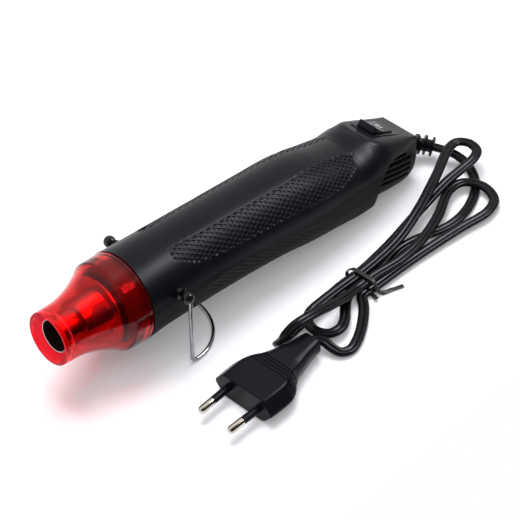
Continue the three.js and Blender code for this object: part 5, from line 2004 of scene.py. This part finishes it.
@dataclass
class Lead(Assembly):
    """The flat twin lead from the boot through its hank to the plug, with the boot and the twist tie.

    Attributes:
        groove: Depth of the groove between the two cores; groove_width is its half width.
        seat: How far the lead goes into the boot and the plug.
        boot_start: Where the boot leaves the tail, in the tool's frame.
        boot_edge: Half the distance over which a rib's side rises.
        boot_neck: Radius in the tail's wall; boot_flange is the radius behind it, for boot_back.
        tie_position: Where the hank is tied; tie_lane is the middle of its lanes there.
        tie_half: Half the length over which the lanes run side by side.
        from_boot: Points of the lead on the way to the tie, in the table's frame.
        left_low: The first fold of the hank; right_far, left_high and right_near follow it in that order.
    """

    plug: Plug
    width: float = 5.4
    thickness: float = 2.8
    groove: float = 0.5
    groove_width: float = 0.55
    seat: float = 5.0
    gap: float = 0.3
    boot_start: Row = (235.6, 0.0, -9.8)
    boot_length: float = 21.0
    boot_turn: float = 57.0
    boot_droop: float = 8.0
    boot_core: float = 3.4
    boot_rib: float = 5.7
    boot_rib_end: float = 5.3
    boot_rib_pitch: float = 3.9
    boot_rib_length: float = 1.35
    boot_edge: float = 0.15
    boot_collar: float = 4.9
    boot_collar_length: float = 1.0
    boot_neck: float = 4.0
    boot_flange: float = 6.0
    boot_back: float = 2.4
    tail_wall: float = 1.7
    tie_position: float = 152.0
    tie_lane: float = -48.8
    lane_pitch: float = 6.0
    lane_height: float = 2.5
    lane_rise: float = 3.5
    tie_half: float = 6.0
    tie_width: float = 2.2
    tie_thickness: float = 0.6
    from_boot: tuple[Row, ...] = (
        (254.6, -15.8, 8.2),
        (256.8, -22.0, 6.6),
        (257.0, -28.0, 4.8),
        (255.0, -34.0, 2.4),
        (250.5, -39.4, 1.7),
        (244.5, -43.8, 1.7),
        (237.0, -47.4, 1.7),
        (229.0, -49.9, 1.7),
        (219.5, -51.0, 1.7),
        (210.0, -50.0, 1.7),
        (202.0, -47.6, 1.7),
        (193.5, -45.6, 1.7),
        (184.0, -44.9, 1.7),
        (171.0, -47.2, 1.8),
    )
    to_plug: tuple[Row, ...] = (
        (141.5, -60.0, 1.8),
        (135.0, -65.4, 1.7),
        (128.5, -69.8, 1.7),
        (122.0, -73.2, 1.7),
        (115.8, -74.9, 1.8),
        (111.0, -73.2, 2.5),
        (108.8, -69.4, 4.4),
        (107.8, -65.4, 6.2),
    )
    left_low: Fold = Fold(
        -1, 2, 1, (119.0, -55.6, 5.4), 8.4, 1, (194.0, 188.0), -6.0, (-0.8, 0.0), (0.0, 0.0)
    )
    right_far: Fold = Fold(
        1, 1, 0, (256.0, -25.4, 12.9), 7.2, 1, (22.0, 5.0), 4.0, (0.0, -1.9), (-0.6, 2.8)
    )
    left_high: Fold = Fold(
        -1, 0, 3, (99.0, -52.2, 9.4), 8.2, -1, (186.0, 185.0), 64.0, (-0.5, 1.0), (0.0, -2.0)
    )
    right_near: Fold = Fold(
        1, 3, 4, (237.0, -47.2, 4.8), 12.0, 1, (20.0, -4.0), 5.0, (-0.5, 0.0), (-3.1, 0.4)
    )
    spacing: float = 1.4

    def lane(self, number: int, step: int = 0) -> Vector:
        """Finds the middle of a lane at the tie.

        Args:
            number: The lane's number; odd lanes lie on even ones.
            step: -1 or 1 for the start of the fold on that side.

        Returns:
            The point, in the table's frame.
        """
        y = self.tie_lane + self.lane_pitch * (1 - number / 2)
        z = self.lane_height + (number % 2) * self.lane_rise
        return Vector((self.tie_position + step * self.tie_half, y, z))

    def fold_points(self, fold: Fold) -> list[Vector]:
        """Draws one fold.

        Args:
            fold: The fold.

        Returns:
            Its points, from the tie and back to it.
        """
        first, last = (
            math.radians(heading + sign * 90 * fold.turn) for heading, sign in zip(fold.headings, (1, -1))
        )
        span = ((last - first) * -fold.turn) % (2 * math.pi)
        middle = math.radians(sum(fold.headings) / 2)
        lean = math.radians(fold.lean)
        forward = Vector((math.cos(middle), math.sin(middle), 0))
        sideways = Vector((-math.sin(middle), math.cos(middle), 0)) * math.cos(lean)
        sideways.z = math.sin(lean)
        tip = []
        for share in evenly(0, 1, 4):
            angle = first - fold.turn * span * share - middle
            at = forward * math.cos(angle) + sideways * math.sin(angle)
            tip.append(Vector(fold.tip) + at * fold.radius)
        out = self.strand(fold, 0, tip[0])
        back = self.strand(fold, 1, tip[-1])
        return [*out, *tip, *reversed(back)]

    def strand(self, fold: Fold, which: int, end: Vector) -> list[Vector]:
        """Draws a strand between the tie and the turn of a fold.

        Args:
            fold: The fold.
            which: 0 for the strand that goes out, 1 for the one that comes back.
            end: Where it meets the turn.

        Returns:
            Points between its ends, away from the tie.
        """
        start = self.lane((fold.out, fold.back)[which], fold.side)
        long = (end - start).length
        heading = math.radians(fold.headings[which])
        leave = Vector((fold.side * long, 0, 0))
        arrive = Vector((math.cos(heading), math.sin(heading), 0)) * long
        points = []
        for t in (0.25, 0.5, 0.75):
            sag = math.sin(math.pi * t)
            points.append(
                Vector((0, fold.bows[which] * sag, fold.lifts[which] * sag))
                + start * ((1 + 2 * t) * (1 - t) ** 2)
                + end * (t * t * (3 - 2 * t))
                + leave * (t * (1 - t) ** 2)
                + arrive * (t * t * (t - 1))
            )
        return points

    def boot_path(self, steps: int) -> list[Vector]:
        """Draws the boot's middle line.

        Args:
            steps: Steps along it.

        Returns:
            Points in the tool's frame.
        """
        at = Vector(self.boot_start)
        path = [at.copy()]
        for k in range(steps):
            share = (k + 0.5) / steps
            yaw = -math.radians(self.boot_turn) * min(1.0, share * share * (3 - 2 * share) * 1.02)
            pitch = -math.radians(self.boot_droop) * share
            level = math.cos(pitch)
            step = Vector((math.cos(yaw) * level, math.sin(yaw) * level, math.sin(pitch)))
            at = at + step * (self.boot_length / steps)
            path.append(at.copy())
        return path

    def route(self) -> list[Vector]:
        """Draws the lead's middle line, from inside the boot to inside the plug.

        Returns:
            Points in the table's frame.
        """
        boot = self.boot_path(20)
        heading = (boot[-1] - boot[-3]).normalized()
        to_level = self.shop.level.inverted() @ self.shop.tool
        place, length = self.plug.to_level, self.plug.length
        neck = place @ Vector((length, 0, 0))
        entry = (place @ Vector((length + 1, 0, 0)) - neck).normalized()
        points = [to_level @ (boot[-1] + heading * reach) for reach in (self.gap - self.seat, 1.5)]
        points += [Vector(at) for at in self.from_boot]
        for fold in (self.left_low, self.right_far, self.left_high, self.right_near):
            points += [self.lane(fold.out, step) for step in (-fold.side, 0, fold.side)]
            points += self.fold_points(fold)
        points += [self.lane(4, step) for step in (1, 0, -1)]
        points += [Vector(at) for at in self.to_plug]
        points += [neck + entry * 2, neck + entry * (self.gap - self.seat)]
        return smooth_route(points, self.spacing)

    def section(self, sides: int = 28) -> list[Row]:
        """Draws the flat twin section: two round cores side by side, with a groove along both faces.

        Args:
            sides: Points round it.

        Returns:
            Points of (across, up).
        """
        half = self.thickness / 2
        centre = (self.width - self.thickness) / 2
        points = []
        for k in range(sides):
            turn = 2 * math.pi * k / sides
            x = self.width / 2 * math.cos(turn)
            over = max(abs(x) - centre, 0.0)
            rise = math.sqrt(max(half * half - over * over, 0.0))
            dip = self.groove * math.exp(-((x / self.groove_width) ** 2))
            at_side = abs(math.sin(turn)) < 1e-6
            points.append((x, 0.0 if at_side else math.copysign(rise - dip, math.sin(turn))))
        return points

    def build_boot(self) -> None:
        """Builds the ribbed boot."""
        steps = 100
        start = Vector(self.boot_start)
        back = -self.tail_wall - 2 * self.gap
        root = (
            (back - self.boot_back, self.boot_flange),
            (back, self.boot_flange),
            (back + 0.05, self.boot_neck),
            (-0.05, self.boot_neck),
            (0.0, self.boot_collar - 0.25),
            (0.25, self.boot_collar),
        )
        stops = [(start + Vector((x, 0, 0)), radius) for x, radius in root]
        for k, at in enumerate(self.boot_path(steps)):
            along = k * self.boot_length / steps
            if along < 0.5:
                continue
            rib = self.boot_rib + (self.boot_rib_end - self.boot_rib) * along / self.boot_length
            place = along % self.boot_rib_pitch
            edge = self.boot_edge
            rise = 1 - smooth_step(-edge, edge, place - self.boot_rib_length)
            rise = max(rise, smooth_step(-edge, edge, place - self.boot_rib_pitch + edge))
            radius = self.boot_core + (rib - self.boot_core) * rise
            stops.append((at, self.boot_collar if along < self.boot_collar_length else radius))
        boot = swept([at for at, _ in stops], lambda k: circle(stops[k][1], 36))
        self.add("strain_relief", "boot", boot, ["lead_black"], "lead_pvc")

    def build_tie(self) -> None:
        """Builds the twist tie: once round the hank, with its ends twisted out at the side."""
        room = 0.5 + self.tie_thickness / 2
        outer = self.lane(0).y + self.width / 2 + room
        inner = self.lane(4).y - self.width / 2 - room
        top = self.lane(1).z + self.thickness / 2 + room
        upper_outer = self.lane(1).y + self.width / 2
        upper_inner = self.lane(3).y - self.width / 2
        low = self.tie_thickness / 2 + 0.2
        offsets = (
            (15, inner - 4.6, 0.6),
            (8.5, inner - 2.4, 0.6),
            (3, inner - 1, 1.4),
            (1.4, inner - 0.2, 3.4),
            (1.1, upper_inner - 0.6, top - 0.4),
            (0.9, upper_inner + 2, top),
            (0.6, upper_outer - 2, top),
            (0.4, upper_outer + 0.6, top - 0.4),
            (0.2, outer + 0.1, 4.4),
            (0.1, outer, 2.2),
            (0, outer - 0.7, 0.9),
            (-0.2, outer - 2.4, low),
            (-0.5, inner + 3, low),
            (-0.8, inner + 1.2, 0.9),
            (-1.6, inner - 0.8, 1.7),
            (-2.2, inner - 2.6, 2),
        )
        path = smooth_route([Vector((self.tie_position + x, y, z)) for x, y, z in offsets], 0.6)
        half, thin = self.tie_width / 2, self.tie_thickness / 2
        right = [(half, thin / 2), (half * 0.6, thin), (0, thin)]
        upper = [*right, *((-wide, thick) for wide, thick in right[1::-1])]
        profile = [*((-wide, -thick) for wide, thick in upper), *upper]
        rings = []
        for k, at in enumerate(path):
            along = heading_at(path, k)
            wide = (Vector((1, 0, 0)) - along * along.x).normalized()
            thick = along.cross(wide)
            rings.append([at + wide * w + thick * t for w, t in profile])
        self.add("twist_tie", "strip", lofted(rings), ["tie_black"], "lead_pvc", place=self.shop.level)

    def build(self) -> None:
        self.build_boot()
        self.build_tie()
        route = self.route()
        section = self.section()
        level = self.shop.level
        finish = [self.palette["lead_black"]]
        cord = swept(route, lambda k: section)
        made = self.shop.piece("mains_lead", cord, finish, Body.HOUSING, "lead_pvc", ["cord"], level)
        path = [level @ at for at in route]
        length = sum((b - a).length for a, b in zip(path, path[1:]))
        on_lead = ["strain_relief_boot", "twist_tie_strip", *self.plug.pieces]
        tuple(path[0])
        self.width * MM
        [tuple(at) for at in path]
        [bpy.data.objects[name] for name in on_lead]
        log.info("lead is %.3f m long", length)


@dataclass
class CaseScrews(Assembly):
    """The screws that hold the half casings together, with a cross recess.

    Attributes:
        shank: Radius of a shank, which ends at reach on the other side.
        recess: Length, width and depth of the cross.
    """

    casing: Casing
    seat: float = 7.3
    head: float = 2.6
    head_thickness: float = 1.6
    shank: float = 1.1
    reach: float = 9.0
    recess: Row = (3.0, 0.7, 0.9)

    def build(self) -> None:
        """Builds the screws along their own axes and sets them into the casing."""
        top = self.seat + self.head_thickness
        outline = [
            (top, 0),
            (top - 0.05, self.head * 0.5),
            (top - 0.35, self.head * 0.85),
            (self.seat + 0.5, self.head),
            (self.seat, self.head),
            (self.seat, self.shank),
            (self.shank - self.reach, self.shank),
            (-self.reach, 0),
        ]
        long, wide, deep = self.recess
        quarter = Matrix.Rotation(math.pi / 2, 4, "Z")
        for k, (x, z) in enumerate(self.casing.screws, 1):
            cross = []
            for a, b in ((long, wide), (wide, long)):
                slot = block((top - deep, -a / 2, -b / 2), (top + 1, a / 2, b / 2))
                cross.append((Cut.TAKE_AWAY, slot))
            screw = carved(turned(outline, 32, closed=False), cross)
            screw.transform(Matrix.Translation((x, 0, z)) @ quarter)
            self.add(f"shell_screw_{k}", "turned", screw, ["screw_steel"], "screw_steel")


@dataclass
class Inside(Assembly):
    """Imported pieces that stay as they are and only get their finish.

    Attributes:
        finishes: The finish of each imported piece.
    """

    finishes: dict[str, str] = field(
        default_factory=lambda: {
            "heat_shield": "tube_steel",
            "mica_core": "mica_sheet",
            "heater_coil": "heater_wire",
            "thermal_cutout": "terminal_brass",
            "fan_duct": "blower_plastic",
            "fan_impeller": "blower_plastic",
            "motor_shaft": "screw_steel",
            "motor_can": "motor_steel",
            "motor_end_cap": "blower_plastic",
            "rectifier_board": "board_resin",
            "capacitor": "blower_plastic",
            "bridge_rectifier": "switch_black",
            "switch_terminal_front": "terminal_brass",
            "switch_terminal_rear": "terminal_brass",
            "live_lead": "lead_black",
            "neutral_lead": "lead_black",
            "inner_lead": "lead_black",
            "cord_clamp": "blower_plastic",
            "clamp_screw_left": "screw_steel",
            "clamp_screw_right": "screw_steel",
        }
    )

    def build(self) -> None:
        """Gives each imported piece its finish."""
        for node, finish in self.finishes.items():
            materials = self.shop.frame["nodes"][node].data.materials
            materials.clear()
            materials.append(self.palette[finish])
            log.info("%s: dressed in %s", node, finish)


# Studio


@dataclass
class Studio:
    """The pale table, the soft light and the camera at the photograph's angle.

    Attributes:
        camera_at: Camera position in the row frame, in metres.
        aim: Point that it looks at.
        lens: Focal length for a 36 mm sensor.
        table: Colour of the table; its blue is painted light, standing in for a slightly blue light in its
            shadows.
        lamps: Position, aim, width, height and power of each soft lamp, and whether it is there for
            gloss alone or for matt surfaces alone.
        ambient: Strength of the light from all sides.
        lift: Light that the table adds where it is seen, so that it shows white.
        front_dark: Strength of the dark room in front of the sweep, in gloss and through glass.
        sweep: Least and greatest x, and least and greatest y, of the white sheet on the table.
        dark_edge: Values of y in a ray's heading between which the dark room gives way to white.
        table_gap: How far the table lies below the tool's feet.
    """

    camera_at: Row = (-0.398645, -0.41272, 0.53661)
    aim: Row = (0.014085, -0.00013, 0.0)
    lens: float = 110.77
    # The table's blue is painted light, for a slightly blue light.
    table: Row = (0.81, 0.805, 0.84)
    lamps: tuple[tuple[Row, Row, float, float, float, bool], ...] = (
        ((-0.35, -0.45, 0.9), (0.0, 0.0, 0.0), 0.9, 0.9, 5.0, False),
        ((0.06, 0.2, 1.0), (0.0, 0.0, 0.0), 0.7, 0.7, 11.0, False),
        ((0.58, -0.36, 0.73), (0.0, 0.0, 0.03), 0.28, 0.4, 7.0, True),
    )
    ambient: float = 0.18
    lift: float = 0.15
    front_dark: float = 0.03
    sweep: Row = (-0.4, 0.45, -0.14, 0.6)
    dark_edge: Row = (-0.35, 0.05)
    table_gap: float = 0.0002

    def build(self) -> None:
        """Builds the stage and the camera."""
        scene = bpy.context.scene
        scene.view_settings.view_transform = "Standard"
        self.build_table()
        self.build_world()
        for k, (at, aim, wide, high, power, in_gloss) in enumerate(self.lamps):
            data = bpy.data.lights.new(f"soft_lamp_{k + 1}", "AREA")
            data.shape = "ELLIPSE"
            data.size = wide
            data.size_y = high
            data.energy = power
            lamp = bpy.data.objects.new(data.name, data)
            lamp.visible_glossy = in_gloss
            lamp.visible_diffuse = not in_gloss
            lamp.matrix_world = self.looking(at, aim)
            scene.collection.objects.link(lamp)
        data = bpy.data.cameras.new("photo_camera")
        data.lens = self.lens
        data.sensor_width = 36.0
        data.clip_start = 0.01
        camera = bpy.data.objects.new("photo_camera", data)
        camera.matrix_world = self.looking(self.camera_at, self.aim)
        scene.collection.objects.link(camera)
        scene.camera = camera

    @staticmethod
    def looking(at: Sequence[float], aim: Sequence[float]) -> Matrix:
        """Returns the place of a lamp or camera that looks from one point to another."""
        turn = (Vector(aim) - Vector(at)).to_track_quat("-Z", "Y")
        return Matrix.Translation(at) @ turn.to_matrix().to_4x4()

    @staticmethod
    def seen(sheet: Sheet) -> Socket:
        """Marks the rays that show the background: to the camera, in gloss and through glass.

        Args:
            sheet: The tree to add to.

        Returns:
            1 for those rays, 0 for others.
        """
        rays = sheet.add("ShaderNodeLightPath").outputs
        direct = sheet.add("ShaderNodeMath", {0: rays["Is Camera Ray"], 1: rays["Is Transmission Ray"]})
        both = {0: direct.outputs[0], 1: rays["Is Glossy Ray"]}
        return sheet.add("ShaderNodeMath", both, use_clamp=True).outputs[0]

    def build_table(self) -> None:
        """Builds the table, which shows white to the camera where no shadow falls."""
        mesh = bmesh.new()
        bmesh.ops.create_grid(mesh, x_segments=4, y_segments=4, size=0.5)
        left, right, near, far = self.sweep
        for corner in mesh.verts:
            corner.co.x = left + (corner.co.x + 0.5) * (right - left)
            corner.co.y = near + (corner.co.y + 0.5) * (far - near)
        table = shown("table", mesh)
        table.location.z = -self.table_gap
        table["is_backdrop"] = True
        material = bpy.data.materials.new("table_white")
        material.use_nodes = True
        sheet = Sheet(material.node_tree)
        matt = sheet.add("ShaderNodeBsdfDiffuse", {"Color": (*self.table, 1)})
        lift = sheet.add("ShaderNodeMath", {0: self.seen(sheet), 1: self.lift}, operation="MULTIPLY")
        glow = sheet.add("ShaderNodeEmission", {"Color": (1, 1, 1, 1), "Strength": lift.outputs[0]})
        both = sheet.add("ShaderNodeAddShader", {0: matt.outputs[0], 1: glow.outputs[0]})
        sheet.add("ShaderNodeOutputMaterial", {"Surface": both.outputs[0]})
        table.data.materials.append(material)

    def build_world(self) -> None:
        """Builds the surround: white to the camera and behind the sweep, dark in front of it."""
        world = bpy.data.worlds.new("white_surround")
        bpy.context.scene.world = world
        world.use_nodes = True
        sheet = Sheet(world.node_tree)
        rays = sheet.add("ShaderNodeLightPath").outputs
        where = sheet.add("ShaderNodeTexCoord").outputs["Generated"]
        heading = sheet.add("ShaderNodeSeparateXYZ", {"Vector": where})
        sides = sheet.ramp(heading.outputs["Y"], self.dark_edge, (self.front_dark, 1.0))
        around = sheet.add("ShaderNodeMath", {0: sides, 1: rays["Is Camera Ray"]}, operation="MAXIMUM")
        either = {"Factor": self.seen(sheet), "A": self.ambient, "B": around.outputs[0]}
        strength = sheet.add("ShaderNodeMix", either).outputs["Result"]
        back = sheet.add("ShaderNodeBackground", {"Color": (1, 1, 1, 1), "Strength": strength})
        sheet.add("ShaderNodeOutputWorld", {"Surface": back.outputs[0]})


def corners(box: Sequence[Vector]) -> list[list[float]]:
    """Returns a box's two corners as plain numbers."""
    return [[float(value) for value in corner] for corner in box]


def main() -> None:
    """Loads the frame, builds every sub-assembly around it and sets the stage."""
    logging.basicConfig(level=logging.INFO, format="%(name)s: %(message)s")
    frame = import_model()
    solid_box = corners(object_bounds())
    shop = Workshop.around(frame)
    palette = Palette(Effects())
    casing = Casing(shop, palette)
    plug = Plug(shop, palette)
    Studio().build()
    assemblies = (
        casing,
        Nozzle(shop, palette),
        WireStand(shop, palette, casing),
        RockerSwitch(shop, palette, casing),
        plug,
        Lead(shop, palette, plug),
        CaseScrews(shop, palette, casing),
        Inside(shop, palette),
    )
    for assembly in assemblies:
        assembly.build()
    {"cad": solid_box, "visual": corners(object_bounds())}


if __name__ == "__main__":
    main()
